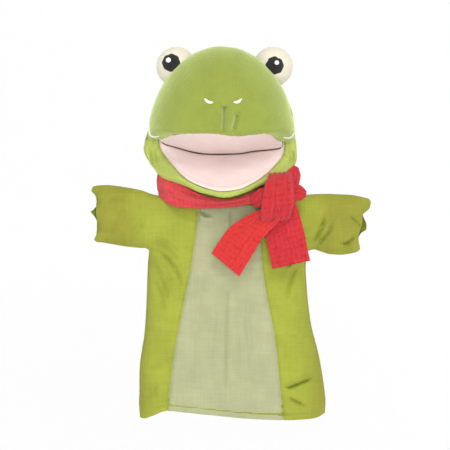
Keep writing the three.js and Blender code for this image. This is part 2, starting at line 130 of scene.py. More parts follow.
def waves(a, b, seed, short, long, count=18, lean=0.0, spread=math.pi):
    """Gentle irregular relief from -1 to 1: waves between two lengths, running mainly along one direction."""
    rng = np.random.default_rng(seed)
    total = 0.0
    for _ in range(count):
        length = rng.uniform(short, long)
        turn = lean + rng.uniform(-0.5, 0.5) * spread
        phase = rng.uniform(0, 2 * math.pi)
        total = total + np.sin(2 * math.pi * (a * math.cos(turn) + b * math.sin(turn)) / length + phase)
    return total / math.sqrt(count) / 1.4


def fold(points, line, width, depth, taper=0.35):
    """Relief of one crease or ridge along a line, fading at both ends."""
    points, line = np.asarray(points, float), curve(line, 2.0)
    near = distance(points, line)
    run = np.r_[0, np.cumsum(np.linalg.norm(np.diff(line, axis=0), axis=1))]
    which = np.argmin(np.linalg.norm(points[:, None] - line[None], axis=2), axis=1)
    share = run[which] / run[-1]
    fade = np.clip(np.minimum(share, 1 - share) / taper, 0, 1)
    return depth * np.exp(-((near / width) ** 2)) * fade * fade * (3 - 2 * fade)


# ---------------------------------------------------------------- making meshes

def new_object(name, vertices, faces, thread=None, crisp=50):
    """A smooth mesh in metres from millimetres, with cloth coordinates for its weave."""
    mesh = bpy.data.meshes.new(name)
    mesh.from_pydata((np.asarray(vertices) * MM).tolist(), [], [list(map(int, f)) for f in faces])
    mesh.validate()
    if thread is not None and len(thread) == len(mesh.vertices):
        attribute = mesh.attributes.new("thread", "FLOAT_VECTOR", "POINT")
        flat = np.zeros((len(thread), 3), np.float32)
        flat[:, : thread.shape[1]] = thread
        attribute.data.foreach_set("vector", flat.ravel())
    mesh.shade_smooth()
    mesh.set_sharp_from_angle(angle=math.radians(crisp))
    made = bpy.data.objects.new(name, mesh)
    bpy.context.scene.collection.objects.link(made)
    return made


def cut_panel(outline, pitch):
    """Points and triangles that fill a closed outline."""
    outline = np.asarray(outline, float)
    lo, hi = outline.min(0), outline.max(0)
    rows = np.arange(lo[1], hi[1], pitch * 0.87)
    spots = [
        np.stack(
            [
                np.arange(lo[0] + (k % 2) * pitch / 2, hi[0], pitch),
                np.full_like(np.arange(lo[0] + (k % 2) * pitch / 2, hi[0], pitch), row)
            ],
            1
        )
        for k, row in enumerate(rows)
    ]
    closed = np.vstack([outline, outline[:1]])
    spots = np.vstack(spots)
    spots = spots[inside(spots, outline)]
    spots = spots[distance(spots, closed) > 1.5 + 0.6 * pitch]
    along = np.roll(outline, -1, axis=0) - np.roll(outline, 1, axis=0)
    across = np.stack([-along[:, 1], along[:, 0]], 1) / np.maximum(
        np.linalg.norm(along, axis=1, keepdims=True), 1e-9
    )
    rows = [spots]
    for step in (0.6, 1.5):
        for way in (1, -1):
            row = outline + across * step * way
            row = row[inside(row, outline)]
            rows.append(row[distance(row, closed) > 0.93 * step] if len(row) else row)
    spots = np.vstack(rows)
    every = [Vector(p) for p in np.vstack([outline, spots])]
    points, _, faces, *_ = delaunay_2d_cdt(every, [], [list(range(len(outline)))], 1, 1e-6)
    return np.array([list(p) for p in points]), [list(f) for f in faces]


def two_skins(name, points, faces, outer, inner, uncut=None, thread=None):
    """A cloth piece: outer and inner skins over the same flat triangles.

    They are joined at every edge except along a cut.
    """
    n = len(points)
    vertices = np.vstack([outer(points), inner(points)])
    count = {}
    for f in faces:
        for a, b in zip(f, f[1:] + f[:1]):
            count[(min(a, b), max(a, b))] = count.get((min(a, b), max(a, b)), 0) + 1
    made = [list(f) for f in faces] + [[n + i for i in reversed(f)] for f in faces]
    for f in faces:
        for a, b in zip(f, f[1:] + f[:1]):
            if count[(min(a, b), max(a, b))] == 1 and not (
                uncut is not None and uncut(points[a]) and uncut(points[b])
            ):
                made.append([b, a, n + a, n + b])
    normal = np.cross(
        vertices[faces[0][1]] - vertices[faces[0][0]], vertices[faces[0][2]] - vertices[faces[0][0]]
    )
    across = vertices[faces[0][0]] - vertices[n + faces[0][0]]
    if normal @ across < 0:
        made = [f[::-1] for f in made]
    thread = points if thread is None else thread
    return new_object(name, vertices, made, np.vstack([thread, thread]))


def skin_normals(grid, wrap_u=False, wrap_v=False):
    """Unit normals of a grid of points, rows by columns."""
    def slope(g, axis, wrap):
        return (np.roll(g, -1, axis) - np.roll(g, 1, axis)) if wrap else np.gradient(g, axis=axis)
    du, dv = slope(grid, 1, wrap_u), slope(grid, 0, wrap_v)
    n = np.cross(du, dv)
    size = np.linalg.norm(n, axis=2, keepdims=True)
    return n / np.maximum(size, 1e-9)


def grid_faces(rows, columns, wrap_u, wrap_v, start=0, flip=False):
    faces = []
    for j in range(rows if wrap_v else rows - 1):
        for i in range(columns if wrap_u else columns - 1):
            a, b = start + j * columns + i, start + j * columns + (i + 1) % columns
            above = start + ((j + 1) % rows) * columns
            c, d = above + (i + 1) % columns, above + i
            faces.append([a, b, c, d][::-1] if flip else [a, b, c, d])
    return faces


def cloth_grid(name, grid, thick, wrap_u=False, out=1, thread=None, relief=None, weld=False, crisp=50):
    """A sheet given by its outer face as a grid; the inner face lies `thick` behind it."""
    rows, columns, _ = grid.shape
    normals = skin_normals(grid, wrap_u) * out
    if relief is not None:
        grid = grid + normals * relief[..., None]
        normals = skin_normals(grid, wrap_u) * out
    vertices = np.vstack([grid.reshape(-1, 3), (grid - normals * thick).reshape(-1, 3)])
    n = rows * columns
    flip = out < 0
    faces = grid_faces(rows, columns, wrap_u, False, 0, flip) + grid_faces(
        rows, columns, wrap_u, False, n, not flip
    )
    edge = [[j * columns for j in range(rows)], [j * columns + columns - 1 for j in range(rows)][::-1]]
    rims = [list(range(columns))[::-1], list(range((rows - 1) * columns, rows * columns))]
    if wrap_u:
        rims = [r + r[:1] for r in rims]
        edge = []
    for line in rims + edge:
        for a, b in zip(line, line[1:]):
            quad = [a, b, n + b, n + a]
            faces.append(quad[::-1] if flip else quad)
    if thread is None:
        across = np.r_[0, np.cumsum(np.linalg.norm(np.diff(grid, axis=1), axis=2).mean(0))]
        along = np.r_[0, np.cumsum(np.linalg.norm(np.diff(grid, axis=0), axis=2).mean(1))]
        thread = np.stack(np.meshgrid(across, along), -1)
    thread = thread.reshape(-1, thread.shape[-1])
    made = new_object(name, vertices, faces, np.vstack([thread, thread]), crisp)
    if weld:
        weld_points(made)
    return made


def weld_points(obj):
    work = bmesh.new()
    work.from_mesh(obj.data)
    bmesh.ops.remove_doubles(work, verts=work.verts, dist=1e-6)
    bmesh.ops.recalc_face_normals(work, faces=work.faces)
    work.to_mesh(obj.data)
    work.free()


def closed_grid(name, grid, thread=None, out=1, relief=None, crisp=60):
    """A stuffed shape: rings along the columns, wrapped round, with its two ends closed."""
    rows, columns, _ = grid.shape
    if relief is not None:
        grid = grid + skin_normals(grid, True) * relief[..., None] * out
    vertices = np.vstack([grid.reshape(-1, 3), grid[0].mean(0), grid[-1].mean(0)])
    n = rows * columns
    faces = grid_faces(rows, columns, True, False, 0, out < 0)
    for i in range(columns):
        j = (i + 1) % columns
        low, high = [j, i, n], [(rows - 1) * columns + i, (rows - 1) * columns + j, n + 1]
        faces += [low[::-1], high[::-1]] if out < 0 else [low, high]
    if thread is None:
        across = np.r_[0, np.cumsum(np.linalg.norm(np.diff(grid, axis=1), axis=2).mean(0))]
        along = np.r_[0, np.cumsum(np.linalg.norm(np.diff(grid, axis=0), axis=2).mean(1))]
        thread = np.stack(np.meshgrid(across, along), -1)
    thread = thread.reshape(-1, thread.shape[-1])
    return new_object(name, vertices, faces, np.vstack([thread, thread[:1], thread[-1:]]), crisp)


def threads(name, lines, radius, sides=6):
    """Round threads along lines, each closed at both ends."""
    vertices, faces = [], []
    for line in lines:
        line = np.asarray(line, float)
        run = np.gradient(line, axis=0)
        run /= np.linalg.norm(run, axis=1, keepdims=True) + 1e-12
        side = np.cross(run, [0.31, 0.17, 0.93])
        side /= np.linalg.norm(side, axis=1, keepdims=True) + 1e-12
        lift = np.cross(run, side)
        start = len(vertices)
        swell = np.full(len(line), radius)
        swell[[0, -1]] *= 0.55
        for p, s, l, r in zip(line, side, lift, swell):
            for k in range(sides):
                a = 2 * math.pi * k / sides
                vertices.append(p + r * (s * math.cos(a) + l * math.sin(a)))
        faces += grid_faces(len(line), sides, True, False, start, True)
        faces.append([start + k for k in range(sides)])
        faces.append([start + (len(line) - 1) * sides + k for k in reversed(range(sides))])
    return new_object(name, np.array(vertices), faces, np.array(vertices)[:, [0, 2]], 80)


# ---------------------------------------------------------------- materials

class Wire:
    """A value travelling through a material, with ordinary arithmetic."""

    def __init__(self, tree, socket, many=False):
        self.tree, self.socket, self.many = tree, socket, many

    def node(self, kind, output=0, many=False, settings=None, **inputs):
        made = self.tree.nodes.new(kind)
        for key, value in (settings or {}).items():
            setattr(made, key, value)
        for key, value in inputs.items():
            name = key.replace("_", " ")
            where = made.inputs[int(key[1:])] if key[0] == "i" and key[1:].isdigit() else made.inputs[name]
            if isinstance(value, Wire):
                self.tree.links.new(value.socket, where)
            else:
                where.default_value = value
        return Wire(self.tree, made.outputs[output], many)

    def _maths(self, how, a, b=0.0):
        if any(isinstance(v, Wire) and v.many for v in (a, b)):
            return self.node(
                "ShaderNodeVectorMath", 0, True, {"operation": how}, i0=self._three(a), i1=self._three(b)
            )
        return self.node("ShaderNodeMath", 0, False, {"operation": how}, i0=a, i1=b)

    @staticmethod
    def _three(value):
        return (value,) * 3 if isinstance(value, (int, float)) else value

    def __add__(self, other):
        return self._maths("ADD", self, other)

    __radd__ = __add__

    def __sub__(self, other):
        return self._maths("SUBTRACT", self, other)

    def __rsub__(self, other):
        return self._maths("SUBTRACT", other, self)

    def __mul__(self, other):
        return self._maths("MULTIPLY", self, other)

    __rmul__ = __mul__

    def __truediv__(self, other):
        return self._maths("DIVIDE", self, other)

    def __rtruediv__(self, other):
        return self._maths("DIVIDE", other, self)

    def __pow__(self, other):
        return self._maths("POWER", self, other)

    def __abs__(self):
        return self._maths("ABSOLUTE", self)

    def sin(self):
        return self._maths("SINE", self)

    def larger(self, other):
        return self._maths("MAXIMUM", self, other)

    def between(self, low, high, start=0.0, end=1.0):
        """Runs from start to end as this value goes from low to high."""
        settings = {"interpolation_type": "SMOOTHSTEP"}
        return self.node(
            "ShaderNodeMapRange", 0, False, settings, Value=self, From_Min=low, From_Max=high, To_Min=start,
            To_Max=end
        )

    def tint(self, low, high):
        """Colour between two colours by this value."""
        mixed = self.tree.nodes.new("ShaderNodeMix")
        mixed.data_type = "RGBA"
        self.tree.links.new(self.socket, mixed.inputs[0])
        for where, colour in ((6, low), (7, high)):
            if isinstance(colour, Wire):
                self.tree.links.new(colour.socket, mixed.inputs[where])
            else:
                mixed.inputs[where].default_value = (*colour[:3], 1)
        return Wire(self.tree, mixed.outputs[2], True)


def linear(colour):
    """Linear values of a screen colour written as three whole numbers."""
    return tuple((v / 255 / 12.92) if v <= 10 else ((v / 255 + 0.055) / 1.055) ** 2.4 for v in colour)


def begin(name, rough, sheen=0.35, glow=(1, 1, 1)):
    made = bpy.data.materials.new(name)
    made.use_nodes = True
    tree = made.node_tree
    shader = tree.nodes["Principled BSDF"]
    shader.inputs["Roughness"].default_value = rough
    shader.inputs["Sheen Weight"].default_value = sheen
    shader.inputs["Sheen Roughness"].default_value = 0.5
    shader.inputs["Sheen Tint"].default_value = (*glow, 1)
    shader.inputs["Specular IOR Level"].default_value = 0.25
    return made, tree, shader


def end(tree, shader, colour, height, strength, depth):
    tree.links.new(colour.socket, shader.inputs["Base Color"])
    bump = colour.node("ShaderNodeBump", 0, True, None, Strength=strength, Distance=depth, Height=height)
    tree.links.new(bump.socket, shader.inputs["Normal"])


def woven(
    name, colour, dark, pale, pitch=0.62, slub=0.5, rough=0.9, sheen=0.35, relief=0.00016, cloudy=0.5,
    outer_darkening=None, glow=None
):
    """Plain weave of thick and thin yarns, some paler and some darker."""
    made, tree, shader = begin(name, rough, sheen, glow or pale)
    start = Wire(tree, None)
    cloth = start.node("ShaderNodeAttribute", 1, True, {"attribute_name": "thread"})
    wander = start.node("ShaderNodeTexNoise", 1, True, None, Vector=cloth, Scale=0.16, Detail=2.0)
    loose = cloth + (wander - 0.5) * 1.1
    split = tree.nodes.new("ShaderNodeSeparateXYZ")
    tree.links.new(loose.socket, split.inputs[0])
    across, up = Wire(tree, split.outputs[0]), Wire(tree, split.outputs[1])
    warp, weft = (across * (math.pi / pitch)).sin(), (up * (math.pi / pitch)).sin()
    over = (warp * weft).between(-0.25, 0.25)
    yarns = abs(warp) * over + abs(weft) * (1.0 - over)
    streaks = []
    for stretch, seed in (((1.3, 0.045, 1.0), 3.7), ((0.045, 1.3, 1.0), 11.2)):
        place = cloth * stretch + seed
        streaks.append(
            start.node(
                "ShaderNodeTexNoise", 0, False, None, Vector=place, Scale=1.0, Detail=3.0, Roughness=0.6
            )
        )
    slubs = (streaks[0] + streaks[1]) * 0.5
    patches = start.node(
        "ShaderNodeTexNoise", 0, False, None, Vector=cloth, Scale=0.045, Detail=4.0, Roughness=0.6
    )
    base = slubs.between(0.5 - 0.22 / max(slub, 0.05), 0.5 + 0.22 / max(slub, 0.05)).tint(dark, pale)
    tone = patches.between(0.3, 0.7).tint(
        tuple(c * (1 - 0.2 * cloudy) for c in colour), tuple(min(1, c * (1 + 0.12 * cloudy)) for c in colour)
    )
    # The colour darkens where the weave dips between yarns and lightens on the yarn tops, following the bump:
    # painted shade in the weave.
    shade = (base + tone) * (yarns * 0.11 + 0.43)
    # Darker and browner where the weave's across-coordinate passes 54 to 78 mm, that is towards the sleeves
    # and hands of the glove panels.
    if outer_darkening:
        out = tree.nodes.new("ShaderNodeSeparateXYZ")
        tree.links.new(cloth.socket, out.inputs[0])
        shade = (abs(Wire(tree, out.outputs[0])) + patches * 12).between(54, 78).tint(shade, shade * outer_darkening)
    end(tree, shader, shade, yarns * 0.6 + slubs * 1.6, 1.0, relief)
    return made


def gauze(name, colour, dark, pale, cell=3.1, relief=0.0009):
    """Crinkled double gauze: small puckered squares, long creases and a fine open weave."""
    made, tree, shader = begin(name, 0.95, 0.12)
    start = Wire(tree, None)
    cloth = start.node("ShaderNodeAttribute", 1, True, {"attribute_name": "thread"})
    wander = start.node("ShaderNodeTexNoise", 1, True, None, Vector=cloth, Scale=0.22, Detail=3.0)
    loose = cloth + (wander - 0.5) * 3.2
    split = tree.nodes.new("ShaderNodeSeparateXYZ")
    tree.links.new(loose.socket, split.inputs[0])
    across, up = Wire(tree, split.outputs[0]), Wire(tree, split.outputs[1])
    squares = abs((across * (math.pi / cell)).sin()) ** 0.6 * abs(
        (up * (math.pi / (cell * 1.15))).sin()
    ) ** 0.6
    yarn = (across * (2 * math.pi / 0.5)).sin() * 0.5 + (up * (2 * math.pi / 0.5)).sin() * 0.5
    stretch = start.node("ShaderNodeCombineXYZ", 0, True, None, X=0.5, Y=0.09, Z=1.0)
    creases = start.node(
        "ShaderNodeTexNoise", 0, False, None, Vector=cloth * stretch, Scale=1.0, Detail=4.0, Roughness=0.65
    )
    lumps = start.node(
        "ShaderNodeTexNoise", 0, False, None, Vector=cloth, Scale=0.3, Detail=4.0, Roughness=0.6
    )
    height = squares * 0.28 + creases * 1.1 + lumps * 0.9 + yarn * 0.04
    # The gauze colour follows the bump height: darker in the hollows of the crinkles and paler on their tops,
    # which is painted shade and painted light. The lumps then mix in the plain colour at random.
    tone = (height + yarn * 0.03).between(0.75, 1.6).tint(dark, pale)
    fine = lumps.between(0.3, 0.7).tint(tone, colour)
    end(tree, shader, fine, height, 1.0, relief)
    return made


def plain_thread(name, colour, shine=0.25, twist=1.3):
    """Embroidery thread: a tight diagonal twist and a little shine."""
    made, tree, shader = begin(name, 0.62, shine)
    start = Wire(tree, None)
    place = start.node("ShaderNodeTexCoord", 3, True)
    split = tree.nodes.new("ShaderNodeSeparateXYZ")
    tree.links.new(place.socket, split.inputs[0])
    x, y, z = (Wire(tree, split.outputs[k]) for k in range(3))
    plies = ((x + y + z * 0.8) * (2 * math.pi / (twist * MM))).sin()
    # The colour darkens in the grooves between plies, following the twist's bump: painted shade.
    shade = plies.between(-1, 1).tint(tuple(c * 0.72 for c in colour), colour)
    end(tree, shader, shade, plies, 0.6, 0.0001)
    return made


def still(name, colour):
    made, _, shader = begin(name, 0.9, 0.0)
    shader.inputs["Base Color"].default_value = (*colour, 1)
    return made


CLOTHS = {}


def dye(obj, cloth):
    """Gives a piece its cloth, making that cloth the first time it is used."""
    if cloth not in CLOTHS:
        CLOTHS[cloth] = RECIPES[cloth]()
    obj.data.materials.clear()
    obj.data.materials.append(CLOTHS[cloth])
    return obj


RECIPES = {
    # The side cloth turns darker and browner towards its sleeves and hands.
    "side": lambda: woven(
        "side_cloth", linear((144, 151, 52)), linear((122, 128, 37)), linear((161, 168, 70)), cloudy=0.9,
        outer_darkening=(0.86, 0.79, 0.8)
    ),
    "belly": lambda: woven(
        "belly_cloth", linear((155, 157, 120)), linear((140, 141, 103)), linear((171, 173, 138)), cloudy=0.8
    ),
    "head": lambda: woven(
        "head_cloth", linear((127, 139, 53)), linear((115, 126, 43)), linear((139, 151, 64)), 0.5, 0.32, 0.88,
        1.0, 0.0001, 0.8, None, linear((212, 226, 166))
    ),
    "cheek": lambda: woven(
        "cheek_cloth", linear((164, 176, 88)), linear((150, 160, 74)), linear((177, 189, 101)), 0.5, 0.32,
        0.88, 0.4, 0.0001, 0.7
    ),
    "pink": lambda: woven(
        "pink_cloth", linear((217, 197, 192)), linear((209, 189, 183)), linear((224, 206, 201)), 0.5, 0.3,
        0.88, 0.3, 0.0001, 0.4
    ),
    "eye": lambda: woven(
        "eye_cloth", linear((206, 200, 181)), linear((196, 189, 170)), linear((215, 210, 194)), 0.5, 0.3, 0.9,
        0.45, 0.0001, 0.4
    ),
    # The band, knot and ends are one scarf of one gauze. The band's paler, greyer red and the left end's
    # brighter red, set against the knot and right end, are painted light and shade.
    "band": lambda: gauze(
        "scarf_band_gauze", linear((196, 59, 63)), linear((176, 45, 50)), linear((209, 77, 79))
    ),
    "scarf": lambda: gauze(
        "scarf_gauze", linear((179, 37, 44)), linear((158, 25, 34)), linear((195, 55, 60))
    ),
    "scarf_end": lambda: gauze(
        "scarf_end_gauze", linear((189, 42, 41)), linear((168, 30, 31)), linear((202, 59, 55))
    ),
    "black": lambda: plain_thread("black_thread", linear((34, 34, 36)), 0.1, 0.9),
    "white": lambda: plain_thread("white_thread", linear((246, 243, 234)), 0.2, 0.8),
    "stitch": lambda: plain_thread("green_stitching", linear((150, 160, 70)), 0.2, 0.8),
    "lining": lambda: woven(
        "lining_cloth", linear((214, 208, 190)), linear((200, 193, 174)), linear((226, 221, 206))
    ),
}


# ---------------------------------------------------------------- the glove's pattern

LEFT_SIDE = curve(
    [
        (-65.3, 0), (-64.6, 18), (-64.3, 37), (-62.7, 50), (-60.8, 62), (-59.5, 80), (-58.6, 104),
        (-58.1, 118), (-58.4, 125)
    ]
)
RIGHT_SIDE = curve(
    [
        (73.5, 3.4), (72.9, 12), (70.7, 29.6), (67.4, 47.5), (62.4, 67), (60.4, 80), (59.3, 89.5),
        (58.2, 104), (57.9, 112.5), (58.6, 119.5), (60.8, 124.6)
    ]
)
LEFT_UNDER = curve([(-58.4, 125), (-61, 126.6), (-65.6, 126.8), (-76, 127.9)])
LEFT_UNDER_HAND = curve([(-76, 127.9), (-85, 129.4), (-93, 130.8), (-97.9, 131.4), (-99.6, 133.2)])
LEFT_OVER_HAND = curve(
    [(-101.8, 169.4), (-100.8, 172.2), (-98.6, 173.4), (-90, 174), (-82, 173.2), (-76, 172.3)]
)
LEFT_OVER = curve(
    [(-76, 172.3), (-70, 171.3), (-63.8, 169.9), (-56.3, 167.2), (-50, 166.2), (-46, 168.5), (-44, 174)]
)
RIGHT_UNDER = curve([(60.8, 124.6), (65.3, 125.6), (69.8, 124.3), (76, 122.2)])
RIGHT_UNDER_HAND = curve([(76, 122.2), (85.5, 121.7), (93.8, 122.8), (98, 124.2), (99.8, 126)])
RIGHT_OVER_HAND = curve(
    [(107.9, 160.8), (106.6, 163.5), (100.5, 165.2), (93.8, 166.5), (85, 167), (76, 167.4)]
)
RIGHT_OVER = curve([(76, 167.4), (66, 167.2), (57.8, 166.6), (50, 166.2), (46, 168.5), (44, 174)])


def scallop(points):
    """A hand's edge: hollows of webbing between its points, which stay sharp."""
    return joined(*[curve(run, 0.9) for run in points])


LEFT_TIPS = {
    "front": scallop(
        [
            [(-99.6, 133.2), (-98, 137), (-97.4, 143), (-97.9, 151), (-98, 158.5), (-97.6, 161.5)],
            [(-97.6, 161.5), (-98.6, 165.8), (-101.8, 169.4)]
        ]
    ),
    "back": scallop([
        [(-99.6, 133.2), (-97.3, 138), (-96.6, 142.6), (-98.4, 148.8), (-102.4, 154)],
        [(-102.4, 154), (-99.4, 156.4), (-96.8, 160.8), (-98.2, 165.6), (-101.8, 169.4)],
    ]),
}
RIGHT_TIPS = {
    "front": scallop([
        [
            (99.8, 126), (99.2, 129.4), (98.6, 132.8), (99, 137.6), (100.4, 142.6), (101.3, 147),
            (101.6, 151.8)
        ],
        [(101.6, 151.8), (103.9, 153.9), (106.8, 156.6), (107.9, 160.8)],
    ]),
    "back": scallop([
        [(99.8, 126), (99.4, 129.2), (98.3, 132.8), (100.2, 137.4), (104.4, 140.4)],
        [(104.4, 140.4), (104.5, 145), (101.9, 151.6), (104.2, 154), (106.9, 156.6), (107.9, 160.8)],
    ]),
}
HEM = {
    "front": curve(
        [
            (-65.3, 0), (-61.5, -0.6), (-54, 2.2), (-45, 5.4), (-30, 4.2), (-18, 3), (0, 1.2), (15.8, -0.3),
            (42.4, -1.5), (64.5, -0.3), (73.5, 3.4)
        ]
    ),
    "back": curve([(-65.3, 0), (-58, 2), (-40, 5.6), (-10, 5), (20, 3.4), (50, 1.2), (64, 1.4), (73.5, 3.4)]),
}
TOP = 174
BELLY_LEFT = curve(
    [
        (-45, 5.4), (-42.8, 22.5), (-39, 51.8), (-33, 81.8), (-27.2, 111), (-22.8, 141), (-21.3, 157),
        (-20.8, TOP)
    ]
)
BELLY_RIGHT = curve(
    [(42.4, -1.5), (39.8, 22), (36, 59), (30.8, 86.2), (26.6, 111), (25, 133.5), (24, 157), (23.5, TOP)]
)
CUT = 76.0
LEFT_CUT = np.stack([np.full(38, -CUT), np.linspace(127.9, 172.3, 38)], 1)
RIGHT_CUT = np.stack([np.full(38, CUT), np.linspace(122.2, 167.4, 38)], 1)
LEFT_EDGE = joined(LEFT_SIDE, LEFT_UNDER, LEFT_UNDER_HAND, LEFT_TIPS["back"], LEFT_OVER_HAND, LEFT_OVER)
RIGHT_EDGE = joined(
    RIGHT_SIDE, RIGHT_UNDER, RIGHT_UNDER_HAND, RIGHT_TIPS["back"], RIGHT_OVER_HAND, RIGHT_OVER
)


def hem_between(face, low, high):
    line = HEM[face]
    return line[(line[:, 0] > low + 0.3) & (line[:, 0] < high - 0.3)]


def across_top(low, high):
    return np.stack(
        [
            np.linspace(low, high, max(3, int(abs(high - low) / 1.3))),
            np.full(max(3, int(abs(high - low) / 1.3)), TOP)
        ],
        1
    )


class Puff:
    """How far the two sewn layers stand apart when a hand fills the glove."""

    def __init__(self, seams, outline, fullness, reach):
        self.seams, self.fullness = seams, fullness
        lo, hi = outline.min(0) - 3, outline.max(0) + 3
        self.low, self.step = lo, 1.0
        xs, zs = np.arange(lo[0], hi[0], self.step), np.arange(lo[1], hi[1], self.step)
        gx, gz = np.meshgrid(xs, zs)
        spots = np.stack([gx.ravel(), gz.ravel()], 1)
        within = inside(spots, outline).reshape(gx.shape)
        h = np.where(within, 0.3, 0.0)
        for _ in range(1500):
            p = np.pad(h, 1, mode="edge")
            around = p[2:, 1:-1] + p[:-2, 1:-1] + p[1:-1, 2:] + p[1:-1, :-2]
            h = np.where(within, (around + (self.step / reach) ** 2) / (4 + (self.step / reach) ** 2), 0.0)
        far = self.to_seam(spots).reshape(gx.shape)
        good = within & (far > 1.6)
        slope = np.where(good, h / np.maximum(far, 1.0), 0)
        known = good.astype(float)
        for _ in range(8):
            p, q = np.pad(slope, 1), np.pad(known, 1)
            total = p[2:, 1:-1] + p[:-2, 1:-1] + p[1:-1, 2:] + p[1:-1, :-2]
            count = q[2:, 1:-1] + q[:-2, 1:-1] + q[1:-1, 2:] + q[1:-1, :-2]
            new = (known == 0) & (count > 0)
            slope = np.where(new, total / np.maximum(count, 1), slope)
            known = np.where(new, 1.0, known)
        self.height, self.slope = h, slope

    def to_seam(self, points):
        return np.minimum(distance(points, self.seams[0]), distance(points, self.seams[1]))

    def read(self, grid, points):
        x, z = ((points - self.low) / self.step).T
        i, j = np.clip(x.astype(int), 0, grid.shape[1] - 2), np.clip(z.astype(int), 0, grid.shape[0] - 2)
        u, v = np.clip(x - i, 0, 1), np.clip(z - j, 0, 1)
        low = grid[j, i] * (1 - u) + grid[j, i + 1] * u
        high = grid[j + 1, i] * (1 - u) + grid[j + 1, i + 1] * u
        return low * (1 - v) + high * v

    def __call__(self, points):
        far = self.to_seam(points)
        near_value = self.read(self.slope, points) * far
        mix = np.clip((far - 3.5) / 4, 0, 1)
        value = near_value * (1 - mix) + self.read(self.height, points) * mix
        return self.fullness * np.maximum(value, 0) ** 0.66


def creases(points, face):
    """Relief of the glove's drag folds and creases, towards the outside."""
    total = 0.8 * waves(points[:, 0], points[:, 1], 5 if face < 0 else 8, 16, 50)
    if face > 0:
        total += fold(points, [(-52, 118), (-40, 104), (-26, 92)], 3, 0.9)
        total += fold(points, [(52, 118), (38, 100), (24, 90)], 3, 0.9)
        return total
    for line, width, depth in GLOVE_FOLDS:
        total += fold(points, line, width * 0.55, depth * 2.9)
    return total + 0.17 * waves(points[:, 0], points[:, 1] * 0.8, 6, 4.5, 11)


GLOVE_FOLDS = [
    ([(-57, 121), (-50, 112), (-44, 98), (-41, 84)], 3.0, 1.2),
    ([(-57, 125), (-47, 121), (-38, 110), (-34, 96)], 2.6, -1.0),
    ([(-60, 131), (-52, 133), (-42, 128), (-33, 117)], 3.2, 1.1),
    ([(-56, 104), (-50, 92), (-47, 76)], 3.4, -0.8),
    ([(-74, 134), (-66, 142), (-60, 152)], 3.0, 0.8),
    ([(-88, 136), (-80, 146), (-76, 158)], 3.2, 0.7),
    ([(-92, 160), (-82, 163), (-70, 163)], 3.0, -0.6),
    ([(60, 127), (66, 134), (71, 144), (73, 155)], 2.4, -1.3),
    ([(62, 124), (71, 130), (78, 140)], 2.2, 1.1),
    ([(64, 127), (75, 137), (80, 150)], 2.4, -0.9),
    ([(57, 118), (50, 109), (46, 96), (45, 84)], 2.8, -1.0),
    ([(60, 122), (52, 118), (44, 108)], 2.8, 1.1),
    ([(84, 129), (91, 131), (97, 137)], 1.8, -1.2),
    ([(82, 126), (90, 127.5), (97, 131)], 1.8, 0.9),
    ([(90, 152), (97, 146), (101, 141)], 1.8, -0.7),
    ([(40.5, 22), (48, 23.5), (57, 27), (65, 30)], 1.6, -1.6),
    ([(41.5, 26.5), (50, 28), (60, 31.5), (66, 34)], 2.2, 0.9),
    ([(44, 17), (52, 12), (60, 8.5)], 2.0, -1.1),
    ([(46, 62), (54, 58), (62, 56)], 3.0, -0.6),
    ([(-60, 34), (-54, 38), (-46, 40)], 3.0, -0.6),
    ([(-62, 12), (-54, 18), (-48, 26)], 2.6, 0.7),
    ([(0.5, 112), (0.2, 80), (-0.4, 40), (0, 8)], 1.5, 0.75),
    ([(-21, 157), (-18, 153), (-13, 152.5)], 1.6, -1.1),
    ([(-20, 152), (-15, 149), (-10, 150)], 1.8, 0.8),
    ([(2, 155), (1, 148), (1, 140)], 1.4, 0.7),
    ([(-16, 118), (-17, 90), (-22, 50), (-24, 14)], 2.6, 0.45),
    ([(14, 104), (15, 74), (19, 40), (22, 10)], 2.6, 0.5),
    ([(-8, 96), (-9, 60), (-12, 20)], 2.0, -0.4),
    ([(8, 92), (8, 60), (10, 18)], 2.0, -0.4),
]


class Glove:
    """The glove's surface, shared by all the panels that are sewn into it."""

    def __init__(self, settings):
        outline = joined(LEFT_EDGE, across_top(-44, 44), RIGHT_EDGE[::-1])
        deep = np.vstack([outline, [(73.5, -12), (-65.3, -12)]])
        self.puff = Puff((LEFT_EDGE, RIGHT_EDGE), deep, settings.fullness / MM, 22.0)
        self.thick = settings.thickness / MM
        self.sink = settings.seam_sink / MM

    def depth(self, points, face):
        """Distance of the outer face from the side-seam plane."""
        points = np.asarray(points, float)
        full = self.puff(points)
        quiet = np.clip(self.puff.to_seam(points) / 5, 0, 1)
        total = full + creases(points, face) * quiet
        if face < 0:
            for seam in (BELLY_LEFT, BELLY_RIGHT):
                near = distance(points, seam)
                pucker = 0.28 * np.sin(
                    points[:, 1] * 2 * math.pi / 6.3 + points[:, 0] * 0.2
                ) * np.exp(-((near / 4) ** 2))
                total = total - self.sink * np.exp(-((near / 1.25) ** 2)) + 0.5 * np.exp(
                    -(((near - 2.6) / 1.5) ** 2)
                ) + pucker
        hem = HEM["front" if face < 0 else "back"]
        rise = points[:, 1] - np.interp(points[:, 0], hem[:, 0], hem[:, 1])
        total = total - quiet * (
            0.55 * np.exp(-(((rise - 4.4) / 0.9) ** 2)) - 0.25 * np.exp(-(((rise - 2.2) / 1.8) ** 2))
        )
        return np.maximum(total, 0) + self.thick + 0.03

    def panel(self, name, outline, face, pitch, uncut=None, lean=0.0):
        points, faces = cut_panel(outline, pitch)
        depth = self.depth(points, face)
        outer = lambda p: np.stack([p[:, 0], face * depth, p[:, 1]], 1)
        inner = lambda p: np.stack([p[:, 0], face * (depth - self.thick), p[:, 1]], 1)
        turn = np.array([[math.cos(lean), -math.sin(lean)], [math.sin(lean), math.cos(lean)]])
        return two_skins(name, points, faces, outer, inner, uncut, points @ turn.T + [0, (face + 1) * 37])


def on_cut(side):
    return lambda p: abs(p[0] - side * CUT) < 1e-3


def bend_arm(obj):
    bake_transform(obj)


def bend_hand(obj):
    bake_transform(obj)


# ---------------------------------------------------------------- settings

